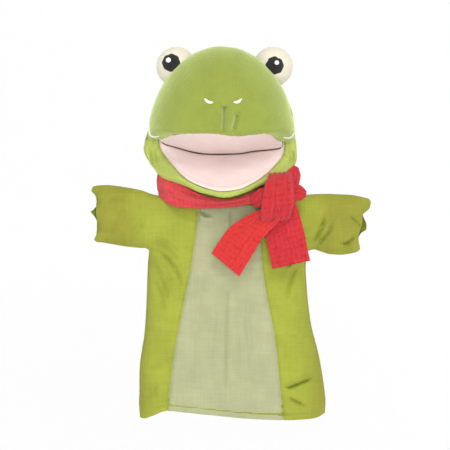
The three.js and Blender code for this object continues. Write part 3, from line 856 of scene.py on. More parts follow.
class GloveSettings(bpy.types.PropertyGroup):
    thickness: FloatProperty(
        name="Cloth thickness", description="One layer of the glove's cloth", default=0.0011, unit="LENGTH"
    )
    fullness: FloatProperty(
        name="Fullness", description="Half depth that a hand gives the wide part of the glove",
        default=0.0215, unit="LENGTH"
    )
    seam_sink: FloatProperty(
        name="Seam sink", description="How deep the belly seams pull in", default=0.0013, unit="LENGTH"
    )
    pitch: FloatProperty(
        name="Pitch", description="Distance between the cloth's mesh points", default=0.0014, unit="LENGTH"
    )
    stitch: FloatProperty(
        name="Stitch length", description="Length of one topstitch at the hem", default=0.0026, unit="LENGTH"
    )


class ScarfSettings(bpy.types.PropertyGroup):
    thickness: FloatProperty(
        name="Gauze thickness", description="Two gauze layers of a scarf end", default=0.0016, unit="LENGTH"
    )
    pleats: IntProperty(name="Knot pleats", description="Pleats across the knot", default=5)


class HeadSettings(bpy.types.PropertyGroup):
    centre: FloatProperty(
        name="Centre", description="Sideways place of the head's middle", default=-0.004, unit="LENGTH"
    )
    half_width: FloatProperty(
        name="Half width", description="Half the width of the upper head", default=0.0556, unit="LENGTH"
    )
    snout: FloatProperty(
        name="Snout", description="Reach of the upper lip in front of the side seam", default=0.05,
        unit="LENGTH"
    )
    top: FloatProperty(
        name="Top", description="Height of the crown above the hem", default=0.2779, unit="LENGTH"
    )
    rear: FloatProperty(
        name="Rear", description="Reach of the back of the head behind the side seam", default=0.043,
        unit="LENGTH"
    )
    cloth: FloatProperty(
        name="Cloth thickness", description="Cloth over the head's filling", default=0.0012, unit="LENGTH"
    )


class MouthSettings(bpy.types.PropertyGroup):
    fold_depth: FloatProperty(
        name="Fold place", description="Depth of the fold at the back of the mouth", default=-0.005,
        unit="LENGTH"
    )
    jaw_slope: FloatProperty(
        name="Jaw slope", description="Slope of the open lower mouth below level", default=math.radians(38),
        subtype="ANGLE"
    )
    puff: FloatProperty(name="Padding", description="Swell of the pink pads", default=0.0016, unit="LENGTH")


class EyeSettings(bpy.types.PropertyGroup):
    radius: FloatProperty(
        name="Eye radius", description="Radius of each stuffed eye", default=0.015, unit="LENGTH"
    )
    pupil: FloatProperty(
        name="Pupil radius", description="Radius of each embroidered pupil", default=0.0067, unit="LENGTH"
    )
    spokes: IntProperty(name="Stitches", description="Stitches round each pupil", default=34)


class StageSettings(bpy.types.PropertyGroup):
    tone: FloatVectorProperty(
        name="Backdrop", description="Colour of the floor and backdrop", default=(1.0, 1.0, 1.0), size=3,
        subtype="COLOR"
    )
    distance: FloatProperty(
        name="Camera distance", description="Camera to puppet", default=1.7, unit="LENGTH"
    )
    framed: FloatProperty(
        name="Framed width", description="Width that the picture takes in", default=0.3375, unit="LENGTH"
    )


# ---------------------------------------------------------------- the glove

class PUPPET_OT_glove(bpy.types.Operator):
    """Sews the front and back panels with their sleeves, the belly, the hands and the hem"""

    bl_idname = "puppet.glove"
    bl_label = "Glove, arms and hands"

    def execute(self, context):
        s = context.scene.puppet_glove
        pitch = s.pitch / MM
        glove = Glove(s)

        left_front = joined(
            hem_between("front", -80, -45), BELLY_LEFT, across_top(-20.8, -44), LEFT_OVER[::-1],
            LEFT_CUT[::-1], LEFT_UNDER[::-1], LEFT_SIDE[::-1]
        )
        right_front = joined(
            hem_between("front", 42.4, 90)[::-1], BELLY_RIGHT, across_top(23.5, 44), RIGHT_OVER[::-1],
            RIGHT_CUT[::-1], RIGHT_UNDER[::-1], RIGHT_SIDE[::-1]
        )
        belly = joined(
            hem_between("front", -45, 42.4), BELLY_RIGHT, across_top(23.5, -20.8), BELLY_LEFT[::-1]
        )
        for name, side, outline, nodes in (
            ("left_front_cloth", -1, left_front, ("left_front_panel", "left_sleeve_front")),
            ("right_front_cloth", 1, right_front, ("right_front_panel", "right_sleeve_front")),
        ):
            made = glove.panel(name, outline[:-1], -1, pitch, on_cut(side), side * 0.06)
            dye(made, "side")
            bend_arm(made)
            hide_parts(*nodes)
        made = glove.panel("belly_cloth", belly[:-1], -1, pitch, None, 0.0)
        dye(made, "belly")
        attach(made, "glove")
        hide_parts("belly_panel")

        middle = 36.0
        for name, side, edge, cut, over, under in (
            ("left_back_cloth", -1, LEFT_SIDE, LEFT_CUT, LEFT_OVER, LEFT_UNDER),
            ("right_back_cloth", 1, RIGHT_SIDE, RIGHT_CUT, RIGHT_OVER, RIGHT_UNDER),
        ):
            seam_x = side * middle
            rise = np.interp(seam_x, HEM["back"][:, 0], HEM["back"][:, 1])
            line = np.stack([np.full(110, seam_x), np.linspace(rise, TOP, 110)], 1)
            hem = hem_between("back", -80, -middle) if side < 0 else hem_between("back", middle, 90)[::-1]
            wide = edge.copy()
            wide[:, 0] += side * 1.3 * np.clip(
                np.linspace(0, 12, len(edge)), 0, 1
            ) * np.clip(np.linspace(14, 0, len(edge)), 0, 1)
            outline = joined(
                hem, line, across_top(seam_x, side * 44), over[::-1], cut[::-1], under[::-1], wide[::-1]
            )
            made = glove.panel(name, outline[:-1], 1, pitch * 1.25, on_cut(side), side * -0.05)
            dye(made, "side")
            bend_arm(made)
            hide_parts(f"{'left' if side < 0 else 'right'}_sleeve_back")
        low = [np.interp(x, HEM["back"][:, 0], HEM["back"][:, 1]) for x in (-middle, middle)]
        sides = [
            np.stack([np.full(110, x), np.linspace(r, TOP, 110)], 1) for x, r in zip((-middle, middle), low)
        ]
        outline = joined(
            hem_between("back", -middle, middle), sides[1], across_top(middle, -middle), sides[0][::-1]
        )
        made = glove.panel("back_cloth", outline[:-1], 1, pitch * 1.25)
        dye(made, "side")
        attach(made, "glove")
        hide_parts("back_panel")

        for side, cut, tips, over, under in (
            (-1, LEFT_CUT, LEFT_TIPS, LEFT_OVER_HAND, LEFT_UNDER_HAND),
            (1, RIGHT_CUT, RIGHT_TIPS, RIGHT_OVER_HAND, RIGHT_UNDER_HAND),
        ):
            word = "left" if side < 0 else "right"
            for layer, face in (("front", -1), ("back", 1)):
                outline = joined(under, tips[layer], over, cut[::-1])
                made = glove.panel(
                    f"{word}_hand_{layer}_cloth", outline[:-1], face, pitch * 0.8, None, side * 0.05 * face
                )
                dye(made, "side")
                bend_hand(made)
                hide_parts(f"{word}_hand_{layer}")

        self.hem(glove, s)
        return {"FINISHED"}

    def hem(self, glove, s):
        """Topstitching round the hem, and the turned-in strip behind it."""
        lines = []
        for layer, face in (("front", -1), ("back", 1)):
            edge = curve(HEM[layer][::6], 0.4)[4:-4]
            run = np.r_[0, np.cumsum(np.linalg.norm(np.diff(edge, axis=0), axis=1))]
            step = s.stitch / MM * 1.35
            for start in np.arange(2, run[-1] - step, step):
                t = start + np.linspace(0, s.stitch / MM, 7)
                spot = np.stack([np.interp(t, run, edge[:, 0]), np.interp(t, run, edge[:, 1]) + 4.4], 1)
                lift = 0.12 + 0.22 * np.sin(np.linspace(0, math.pi, 7))
                lines.append(np.stack([spot[:, 0], face * (glove.depth(spot, face) + lift), spot[:, 1]], 1))
        made = threads("hem_topstitching", lines, 0.2)
        dye(made, "stitch")
        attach(made, "glove")
        for layer, face in (("front", -1), ("back", 1)):
            t = np.linspace(0.05, 0.95, 90)
            edge = on_line(HEM[layer], t)
            grid = []
            for up in (0.3, 3, 6, 9, 12):
                spot = edge + [0, up]
                grid.append(
                    np.stack(
                        [spot[:, 0], face * (glove.depth(spot, face) - glove.thick - 0.15), spot[:, 1]], 1
                    )
                )
            strip = cloth_grid(f"hem_facing_{layer}_cloth", np.array(grid), 0.9, out=-1 if face < 0 else 1)
            dye(strip, "side")
            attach(strip, "glove")
            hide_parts(f"hem_facing_{layer}")


# ---------------------------------------------------------------- neck and scarf

def ring(low, high, wide, deep, rows, columns=160, lean=(0, 0)):
    """Points round the neck between two heights; `lean` lowers the front of each edge."""
    a = np.linspace(0, 2 * math.pi, columns, endpoint=False)
    grid = []
    for v in np.linspace(0, 1, rows):
        z = low + (high - low) * v + (lean[0] * (1 - v) + lean[1] * v) * (np.sin(a) - 1) / 2
        w, d = wide[0] + (wide[1] - wide[0]) * v, deep[0] + (deep[1] - deep[0]) * v
        grid.append(np.stack([w * np.cos(a), d * np.sin(a), z], 1))
    return np.array(grid)


class PUPPET_OT_neck(bpy.types.Operator):
    """Makes the neck of the glove, which runs up under the scarf into the head"""

    bl_idname = "puppet.neck"
    bl_label = "Neck"

    def execute(self, context):
        lower = ring(158.5, 169, (38.4, 38.2), (15.5, 17), 12)
        made = cloth_grid(
            "neck_lower_cloth", lower, 1.1, wrap_u=True,
            relief=0.3 * waves(lower[..., 0], lower[..., 1], 3, 8, 20)
        )
        dye(made, "side")
        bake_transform(made)
        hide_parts("neck_sleeve")
        upper = ring(169, 189, (38.2, 39.5), (17, 19), 14, lean=(0, 20))
        made = cloth_grid(
            "neck_upper_cloth", upper, 1.1, wrap_u=True,
            relief=0.3 * waves(upper[..., 0], upper[..., 2], 4, 8, 20)
        )
        dye(made, "side")
        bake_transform(made)
        return {"FINISHED"}


def strip_along(path, side, width, thick, columns=56, pleats=0, deep=0.0, seed=1):
    """A stuffed-looking folded strip: rings round a flat section that follows a path."""
    path, side = np.asarray(path, float), np.asarray(side, float)
    run = np.gradient(path, axis=0)
    run /= np.linalg.norm(run, axis=1, keepdims=True)
    side = side / np.linalg.norm(side, axis=1, keepdims=True)
    face = np.cross(run, side)
    face /= np.linalg.norm(face, axis=1, keepdims=True)
    a = np.linspace(0, 2 * math.pi, columns, endpoint=False)
    width, thick = np.broadcast_to(width, len(path)), np.broadcast_to(thick, len(path))
    c, s = np.sign(np.cos(a)) * np.abs(np.cos(a)) ** 0.8, np.sign(np.sin(a)) * np.abs(np.sin(a)) ** 0.7
    across = side[:, None] * (width[:, None] * c)[..., None]
    out = face[:, None] * (thick[:, None] * s)[..., None]
    grid = path[:, None] + across + out
    rise = deep * np.cos(c * math.pi * pleats + 0.7) * np.abs(s)
    drift = 0.5 * waves(np.arange(len(path))[:, None] * 0.6, c[None] * width.max(), seed, 5, 14)
    return grid, rise[None] * np.clip(width / width.max(), 0.3, 1)[:, None] + drift * min(deep, 0.9)


class PUPPET_OT_scarf(bpy.types.Operator):
    """Winds the gauze scarf round the neck and ties it, with its two loose ends"""

    bl_idname = "puppet.scarf"
    bl_label = "Scarf, knot and ends"

    def execute(self, context):
        s = context.scene.puppet_scarf
        self.band()
        self.knot(s)
        self.ends(s)
        return {"FINISHED"}

    def band(self):
        columns, around = 420, 44
        a = np.linspace(0, 2 * math.pi, columns, endpoint=False)
        wide, deep = 50.6, 26.2
        x = wide * np.cos(a)
        low = at(
            [
                (-52, 164.5), (-44, 159.5), (-36, 156.9), (-20, 156.4), (-6, 156.8), (18, 159.4), (36, 161),
                (52, 165)
            ],
            x
        )
        high = at(
            [
                (-52, 186.5), (-42, 181), (-33, 174.5), (-25, 169.5), (-14, 165), (-3, 163.4), (8, 164.6),
                (20, 169.5), (32, 175.5), (42, 181), (52, 185)
            ],
            x
        )
        back = np.clip(np.sin(a) * 2.5, 0, 1)
        low, high = low * (1 - back) + 160.5 * back, high * (1 - back) + 181 * back
        b = np.linspace(0, 2 * math.pi, around, endpoint=False)
        grid = []
        for t in b:
            up = (1 - math.cos(t)) / 2
            bulge = 2.7 * math.sin(t)
            z = low + (high - low) * up
            fat = bulge * (1.15 if math.sin(t) > 0 else 0.8)
            squeeze = 1 + 0.035 * np.sin(2.0 * a + 0.6)
            grid.append(
                np.stack([(wide + fat - 1.2) * np.cos(a), (deep * squeeze + fat - 1.2) * np.sin(a), z], 1)
            )
        grid = np.array(grid)
        run = np.cumsum(np.linalg.norm(np.roll(grid, -1, 1) - grid, axis=2), axis=1).mean(0)
        up = np.broadcast_to(b[:, None] / (2 * math.pi) * 50, grid.shape[:2])
        spread = np.broadcast_to(run[None], grid.shape[:2])
        relief = 0.9 * waves(
            up, spread * 0.16, 21, 6, 16, lean=0.0, spread=0.9
        ) + 0.35 * waves(up, spread, 22, 3.5, 8)
        normals = skin_normals(np.concatenate([grid, grid[:1]]), True)[:-1]
        centre = grid.mean(0, keepdims=True)
        outward = np.sign(np.sum(normals * (grid - centre), axis=2, keepdims=True))
        grid = grid + normals * outward * relief[..., None]
        faces = grid_faces(around, columns, True, True, 0, True)
        made = new_object(
            "scarf_band_cloth", grid.reshape(-1, 3), faces, np.stack([up, spread], -1).reshape(-1, 2)
        )
        weld_points(made)
        dye(made, "band")
        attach(made, "neck")
        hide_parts("scarf_neck_band")

    def knot(self, s):
        rows = 70
        t = np.linspace(0, 1, rows)
        loop = curve(
            [
                (39.5, -20, 180.5), (39, -29, 180.2), (38.2, -35.5, 176), (37.6, -38.6, 168),
                (37, -38.4, 159), (36, -35, 151), (36.5, -29, 149.4), (38, -23, 152)
            ],
            0.5
        )
        path = on_line(loop, t)
        side = np.stack([np.full(rows, 1.0), 0.12 * np.ones(rows), 0.16 * np.sin(t * 3)], 1)
        width = at([(0, 8), (0.2, 9.4), (0.45, 11.6), (0.65, 12.6), (0.82, 11), (1, 8)], t)
        thick = at([(0, 2.0), (0.3, 3.0), (0.6, 3.4), (1, 2.2)], t)
        grid, rise = strip_along(path, side, width, thick, 72, s.pleats, 0.75, 31)
        made = closed_grid("scarf_knot_cloth", grid, relief=rise)
        self.tie(made, "scarf_knot")
        e = np.linspace(-math.pi / 2, math.pi / 2, 26)[:, None]
        a = np.linspace(0, 2 * math.pi, 40, endpoint=False)[None]
        ball = np.stack(
            np.broadcast_arrays(9.5 * np.cos(e) * np.cos(a), 8.6 * np.cos(e) * np.sin(a), 13 * np.sin(e)), -1
        ) + [38, -27.5, 164.5]
        made = closed_grid(
            "scarf_knot_inner_cloth", ball, relief=0.8 * waves(ball[..., 0], ball[..., 2] * 0.4, 35, 4, 9)
        )
        weld_points(made)
        self.tie(made)
        for name, spine, lean, widths, seed in (
            (
                "scarf_upper_lobe",
                [(41, -24, 168), (46, -23.5, 175), (49.5, -22.5, 181.5), (51.4, -21.5, 187)],
                (0.86, 0.2, -0.47), [(0, 5), (0.45, 7.2), (0.8, 5.2), (1, 2.2)], 32
            ),
            (
                "scarf_lower_lobe",
                [(40, -25, 165.5), (47, -25, 167.5), (53, -24, 167.8), (58.2, -22.5, 167)],
                (0.05, 0.25, 0.97), [(0, 5.5), (0.5, 7.4), (0.82, 5.6), (1, 2.6)], 33
            ),
        ):
            t = np.linspace(0, 1, 48)
            path = on_line(curve(spine, 0.5), t)
            grid, rise = strip_along(
                path, np.tile(lean, (48, 1)), at(widths, t), at([(0, 2.6), (0.6, 3.4), (1, 1.4)], t), 64, 3,
                0.6, seed
            )
            made = closed_grid(f"{name}_cloth", grid, relief=rise)
            self.tie(made, name)
        tuck = curve([(19, -26, 161), (24, -29.5, 163.5), (28.5, -31, 166), (31, -28, 168)], 0.5)
        path = on_line(tuck, np.linspace(0, 1, 30))
        side = np.stack([np.full(30, -0.35), np.full(30, 0.1), np.full(30, 1.0)], 1)
        grid, rise = strip_along(
            path, side, at([(0, 5), (0.6, 6.5), (1, 3)], np.linspace(0, 1, 30)),
            at([(0, 1.6), (0.5, 2.4), (1, 1.2)], np.linspace(0, 1, 30)), 40, 2, 0.5, 34
        )
        made = closed_grid("scarf_tuck_cloth", grid, relief=rise)
        self.tie(made)

    def tie(self, made, *nodes):
        dye(made, "scarf")
        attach(made, "neck")
        if nodes:
            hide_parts(*nodes)

    def ends(self, s):
        thick = s.thickness / MM
        for name, cloth, node, body, left, right, rootward, seed in (
            ("scarf_left_end_cloth", "scarf_end", "scarf_left_tail", "scarf_left_end",
             [(27.5, -31.5, 156), (17, -30.5, 152), (3, -27.5, 143), (-5, -26, 133), (-11.5, -25, 123)],
             [
                 (45.5, -36, 157), (38.5, -36, 147), (27, -33.5, 135.5), (18, -29.5, 121), (9, -26, 106)
             ], 0.34, 41),
            ("scarf_right_end_cloth", "scarf", "scarf_right_tail", "scarf_right_end",
             [(30, -29, 150), (28.5, -28, 138), (30, -26.5, 128), (32, -25, 119), (33.6, -24, 111.5)],
             [
                 (50.5, -26, 162), (54, -26.5, 150), (57.4, -25.5, 137), (59.6, -24, 126),
                 (61.4, -22.5, 117.5)
             ], 0.3, 42),
        ):
            rows, columns = 78, 56
            a, b = on_line(curve(left, 0.5), np.linspace(0, 1, rows)), on_line(
                curve(right, 0.5), np.linspace(0, 1, rows)
            )
            u = np.linspace(0, 1, columns)
            grid = a[:, None] * (1 - u)[None, :, None] + b[:, None] * u[None, :, None]
            v = np.linspace(0, 1, rows)[:, None]
            gather = np.clip((rootward + 0.15 - v) / (rootward + 0.15), 0, 1)
            grid[..., 1] -= 1.6 * np.sin(math.pi * u)[None] * (0.4 + 0.6 * v)
            relief = 1.5 * gather * np.cos(u[None] * 2 * math.pi * 3.2 + 0.8 + v)
            span = np.linalg.norm(b - a, axis=1).mean()
            length = np.linalg.norm(np.diff(a, axis=0), axis=1).sum()
            across, along = np.broadcast_to(
                u[None] * span, (rows, columns)
            ), np.broadcast_to(v * length, (rows, columns))
            relief = relief + 0.75 * waves(
                across, along * 0.3, seed, 6, 15, spread=0.8
            ) + 0.32 * waves(across, along, seed + 5, 3, 7)
            edge = np.minimum(u, 1 - u)[None] * span
            relief = relief * np.clip(edge / 3 + 0.35, 0, 1)
            relief = relief + 0.45 * np.exp(
                -((((1 - v) * length - 2.2) / 1.6) ** 2)
            ) - 0.4 * np.exp(-((((1 - v) * length - 5.0) / 0.8) ** 2))
            made = cloth_grid(
                name, grid[:, ::-1], thick, relief=relief[:, ::-1],
                thread=np.stack([across, along], -1)[:, ::-1], out=outward(grid[:, ::-1], (0, 300, 140))
            )
            dye(made, cloth)
            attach(made, body)
            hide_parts(node)


# ---------------------------------------------------------------- head and mouth

def smoothed(stations, t):
    """Smooth values at t through stations whose first number is t."""
    s = np.array(stations, float)
    k, v = s[:, 0], s[:, 1:]
    slope = np.gradient(v, k, axis=0)
    i = np.clip(np.searchsorted(k, t, "right") - 1, 0, len(k) - 2)
    h = (k[i + 1] - k[i])[:, None]
    u = ((t - k[i]) / h[:, 0])[:, None]
    rise = (u**3 - 2 * u**2 + u) * h * slope[i] + (u**3 - u**2) * h * slope[i + 1]
    return (2 * u**3 - 3 * u**2 + 1) * v[i] + (3 * u**2 - 2 * u**3) * v[i + 1] + rise


# Lower lip from its left corner round to its right one: share, pink edge (x, z),
# green roll (x, z), seam under the chin (x, y, z).
LOWER_LIP = [
    (0, -50.4, 208.2, -55.5, 208.3, -60.3, 0, 208.2),
    (0.05, -49.4, 203.4, -57.2, 202.6, -62.5, -0.2, 203.2),
    (0.12, -45.6, 196, -54, 191, -60.7, -0.2, 195.2),
    (0.2, -39.4, 187.4, -46.6, 181.8, -54.6, 0.5, 186.6),
    (0.33, -27.6, 176.4, -32, 174, -42, 2, 184),
    (0.42, -15, 170.8, -17.6, 167.2, -22, 3, 183),
    (0.5, -3.4, 168.6, -3.4, 164.3, -4, 3, 183),
    (0.58, 8, 170.1, 8.8, 166.1, 14, 3, 183),
    (0.67, 19.4, 175, 23, 172.2, 32, 2, 184),
    (0.79, 32, 184.2, 38.6, 179.6, 45, 1, 185),
    (0.88, 38.6, 192.6, 46.4, 186.4, 51.4, 0, 189.6),
    (0.95, 41.6, 200.4, 49, 196.6, 52.5, -0.2, 197.6),
    (1, 42.2, 206.4, 47.4, 207, 51.7, 0, 207.3),
]
# Upper lip, from side seam to side seam: share, x, y, z.
UPPER_LIP = [
    (0, -60, 0, 206.8), (0.04, -57, -6, 207), (0.1, -50.6, -13, 207.6), (
        0.22, -38.4, -34.7, 210.4
    ), (0.36, -21, -45.2, 210.9),
    (0.5, -5.3, -48, 210.2), (0.58, 3.4, -47.5, 208.9), (0.64, 9, -46, 208.7), (0.75, 18.5, -42.6, 210), (
        0.87, 31.9, -32.6, 210.4
    ),
    (0.945, 41.3, -13, 205.8), (0.975, 47.5, -6, 205.6), (1, 51.6, 0, 205.9),
]
FOLD = [
    (-50.4, 206.9), (-45.1, 204.2), (-39.2, 202.6), (-27.4, 199.2), (-17.9, 197.5), (-5.3, 197.2),
    (9.8, 197.7), (18.4, 199.1), (32.6, 200.6), (39.8, 201.8), (42.2, 204.8)
]
HEAD_Z = 206.0
NOSE = [
    ([(-1.9, 231.5), (-2.2, 222), (-2.8, 210)], 1.6, -4.4, 0.08),
    ([(8.6, 227), (6.4, 220), (3.6, 210.5)], 1.6, -3.8, 0.25),
    ([(2.4, 230), (2.3, 220), (0.6, 211)], 2.4, 1.2, 0.25),
    ([(-6.4, 229), (-6.4, 220), (-6.8, 212)], 2.8, 0.9, 0.3),
    ([(14, 226), (12, 219), (10, 213)], 3.4, 0.5, 0.4),
    ([(-20, 216), (-30, 215), (-40, 212)], 3.0, 0.4, 0.4),
    ([(20, 214), (30, 214), (38, 211)], 3.0, 0.4, 0.4),
]


def outward(grid, centre, wrap=False):
    """1 if a grid's own normals point away from the centre, or else -1."""
    return 1 if np.sum(skin_normals(grid, wrap) * (grid - np.asarray(centre, float))) > 0 else -1


class Face:
    """The head's shape, shared by its cloth and by what is sewn on it."""

    def __init__(self, scene):
        head, mouth = scene.puppet_head, scene.puppet_mouth
        self.x, self.wide, self.deep = head.centre / MM, head.half_width / MM, head.snout / MM
        self.rise, self.rear, self.cloth = head.top / MM - HEAD_Z, head.rear / MM, head.cloth / MM
        self.back, self.slope, self.puff = mouth.fold_depth / MM, math.tan(mouth.jaw_slope), mouth.puff / MM

    def jaw_y(self, z):
        return np.minimum(self.back, self.back - (197.5 - z) / self.slope)

    def lower(self, t):
        """Pink edge, green roll and under-chin seam at shares t of the lower lip."""
        s = smoothed(LOWER_LIP, t)
        edge = np.stack([s[:, 0], self.jaw_y(s[:, 1]), s[:, 1]], 1)
        roll = np.stack([s[:, 2], self.jaw_y(s[:, 1]) + 4.5 * np.sin(math.pi * t) + 0.5, s[:, 3]], 1)
        return edge, roll, s[:, 4:7]

    def crease(self, x):
        """Points of the fold at the back of the mouth."""
        line = curve(FOLD, 1.0)
        return np.stack([x, np.full_like(x, self.back - 3), np.interp(x, line[:, 0], line[:, 1])], -1)


class PUPPET_OT_head(bpy.types.Operator):
    """Sews the padded dome, the back of the head and the chin with its cheeks"""

    bl_idname = "puppet.head"
    bl_label = "Head and chin"

    def execute(self, context):
        face = Face(context.scene)
        self.dome(face)
        self.rear(face)
        self.chin(face)
        return {"FINISHED"}

    def dome(self, face):
        share = np.linspace(0, 1, 230)
        lip = smoothed(UPPER_LIP, share)
        half = np.where(share < 0.5, face.x - lip[0, 0], lip[-1, 0] - face.x)
        turn = np.arccos(np.clip((lip[:, 0] - face.x) / half, -1, 1))
        rows = 130
        grid = np.zeros((rows, len(share), 3))
        for i, (low, a) in enumerate(zip(lip, turn)):
            lift = np.radians([5.5, 10, 16, 24, 33, 43, 54, 65, 76, 84, 90])
            steps = [low]
            for e in lift:
                steps.append(
                    [
                        face.x + face.wide * math.cos(e) * math.cos(a),
                        -face.deep * math.cos(e) * math.sin(a), HEAD_Z + face.rise * math.sin(e)
                    ]
                )
            grid[:, i] = on_line(curve(steps, 0.8), np.linspace(0, 1, rows) ** 0.92)
        spots = grid[..., [0, 2]].reshape(-1, 2)
        relief = 0.32 * waves(grid[..., 0], grid[..., 2], 51, 14, 34)
        relief += 0.07 * waves(grid[..., 0], grid[..., 2] * 2.4, 52, 2.5, 6)
        for line, width, depth, taper in NOSE:
            relief += fold(spots, line, width, depth, taper).reshape(grid.shape[:2])
        lip_run = np.linalg.norm(grid - grid[:1], axis=2)
        relief += 0.28 * np.sin(share * 2 * math.pi * 26)[None] * np.exp(-((lip_run / 3.5) ** 2))
        relief *= np.clip(np.linalg.norm(grid - grid[-1:], axis=2) / 8, 0, 1)
        relief -= 1.1 * np.exp(-((grid[..., 1] / 1.6) ** 2))
        thread = np.stack([grid[..., 0] * 1.15, grid[..., 2]], -1)
        made = cloth_grid(
            "head_front_cloth", grid, face.cloth, out=outward(grid, (face.x, 0, HEAD_Z)), relief=relief,
            thread=thread, weld=True
        )
        dye(made, "head")
        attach(made, "head")
        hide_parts("head_front", "head_filling", "upper_mouth_board")

    def rear(self, face):
        rows, columns = 120, 150
        heights = np.r_[
            HEAD_Z + face.rise * np.sin(np.linspace(math.pi / 2, 0, 64)), np.linspace(204.5, 186.6, 26)
        ]
        left = lambda z: at(
            [
                (186, 53.8), (188.6, 56.2), (195, 60.3), (199, 61.9), (203, 62.4), (207, 62), (211.5, 60.5),
                (224, 56.6)
            ],
            z
        )
        a = np.linspace(0, math.pi, columns)
        grid = []
        for z in heights:
            r = math.sqrt(max(0.0, 1 - ((z - HEAD_Z) / face.rise) ** 2))
            ease = np.clip((232 - z) / 14, 0, 1)
            wide_left = r * face.wide * (1 - ease) + (left(z) + face.x) * ease
            wide_right = r * face.wide * (1 - ease) + at(
                [(184, 50.6), (188.8, 54.6), (196.7, 56.4), (204, 56.4), (211.5, 55.6), (224, 53.9)], z
            ) * ease
            deep = face.rear * (r if z > HEAD_Z else math.sqrt(1 - ((HEAD_Z - z) / 46) ** 2))
            w = np.where(np.cos(a) < 0, wide_left, wide_right)
            grid.append(np.stack([face.x + w * np.cos(a), 0.5 + deep * np.sin(a), np.full(columns, z)], 1))
        rim = grid[-1]
        hole = np.stack([39.8 * np.cos(a), 0.5 + 19.6 * np.sin(a), np.full(columns, 187.5)], 1)
        for s in np.linspace(0, 1, 12)[1:]:
            step = rim * (1 - s) + hole * s
            step[:, 2] = rim[:, 2] - 2.6 * math.sin(math.pi * min(s * 1.4, 1)) + (187.5 - rim[:, 2]) * s
            grid.append(step)
        grid = np.array(grid)
        relief = 0.35 * waves(
            grid[..., 0], grid[..., 2], 61, 14, 34
        ) + 0.06 * waves(grid[..., 0], grid[..., 2], 62, 2.5, 6)
        relief *= np.clip(np.linalg.norm(grid - grid[:1], axis=2) / 8, 0, 1)
        relief -= 0.9 * np.exp(-(((grid[..., 1] - 0.5) / 1.6) ** 2)) * (np.arange(len(grid)) < 90)[:, None]
        relief -= 0.7 * np.exp(
            -(((grid[..., 0] - face.x) / 1.2) ** 2)
        ) * np.clip((grid[..., 2] - 186) / 10, 0, 1)
        thread = np.stack([grid[..., 0] * 1.15, grid[..., 2]], -1)
        made = cloth_grid(
            "head_back_cloth", grid, face.cloth, out=outward(grid, (face.x, 0, HEAD_Z)), relief=relief,
            thread=thread, weld=True
        )
        dye(made, "head")
        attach(made, "head")
        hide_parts("head_back")

    def chin(self, face):
        t = np.linspace(0, 1, 240)
        edge, roll, seam = face.lower(t)
        rows = 54
        grid = np.zeros((rows, len(t), 3))
        for i, (a, b, c, u) in enumerate(zip(edge, roll, seam, t)):
            low = 3.2 * math.sin(math.pi * u)
            side = b * 0.45 + c * 0.55 + np.array(
                [0, -4.5 * math.exp(-(((abs(u - 0.5) - 0.36) / 0.13) ** 2)), -low * 1.4]
            )
            top = a * 0.6 + b * 0.4 + np.array([0, -1.8, -0.2])
            grid[:, i] = on_line(curve([a + [0, 1.2, 0], top, b, side, c], 0.5), np.linspace(0, 1, rows))
        relief = 0.3 * waves(grid[..., 0], grid[..., 2], 71, 10, 26)
        spots = grid[..., [0, 2]].reshape(-1, 2)
        for line, width, depth in CHEEK_FOLDS:
            relief += fold(spots, line, width, depth).reshape(grid.shape[:2])
        run = np.linalg.norm(grid - grid[:1], axis=2)
        relief += 0.22 * np.sin(t * 2 * math.pi * 30)[None] * np.exp(-(((run - 2.5) / 2.5) ** 2))
        relief *= np.clip(run / 1.5, 0, 1)
        made = cloth_grid(
            "chin_cloth", grid, face.cloth, out=outward(grid, (face.x, 0, 200)), relief=relief,
            thread=grid[..., [0, 2]] * [1.1, 1], weld=True
        )
        dye(made, "cheek")
        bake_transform(made)
        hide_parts("chin_cover", "jaw_filling", "lower_mouth_board")


CHEEK_FOLDS = [
    ([(-52, 203), (-55, 198), (-53, 190)], 1.6, -1.0),
    ([(-56, 204), (-58, 198), (-56, 191)], 1.8, 0.6),
    ([(-50, 192), (-44, 186), (-36, 181)], 2.2, -0.7),
    ([(-45, 183), (-34, 178), (-24, 172)], 1.4, 0.5),
    ([(46, 202), (49, 196), (47, 189)], 1.4, -1.1),
    ([(44, 199), (46, 193), (43, 187)], 1.4, 0.7),
    ([(49.5, 200), (51, 195), (49, 190)], 1.4, 0.6),
    ([(42, 188), (34, 182), (27, 178)], 1.6, -0.6),
]


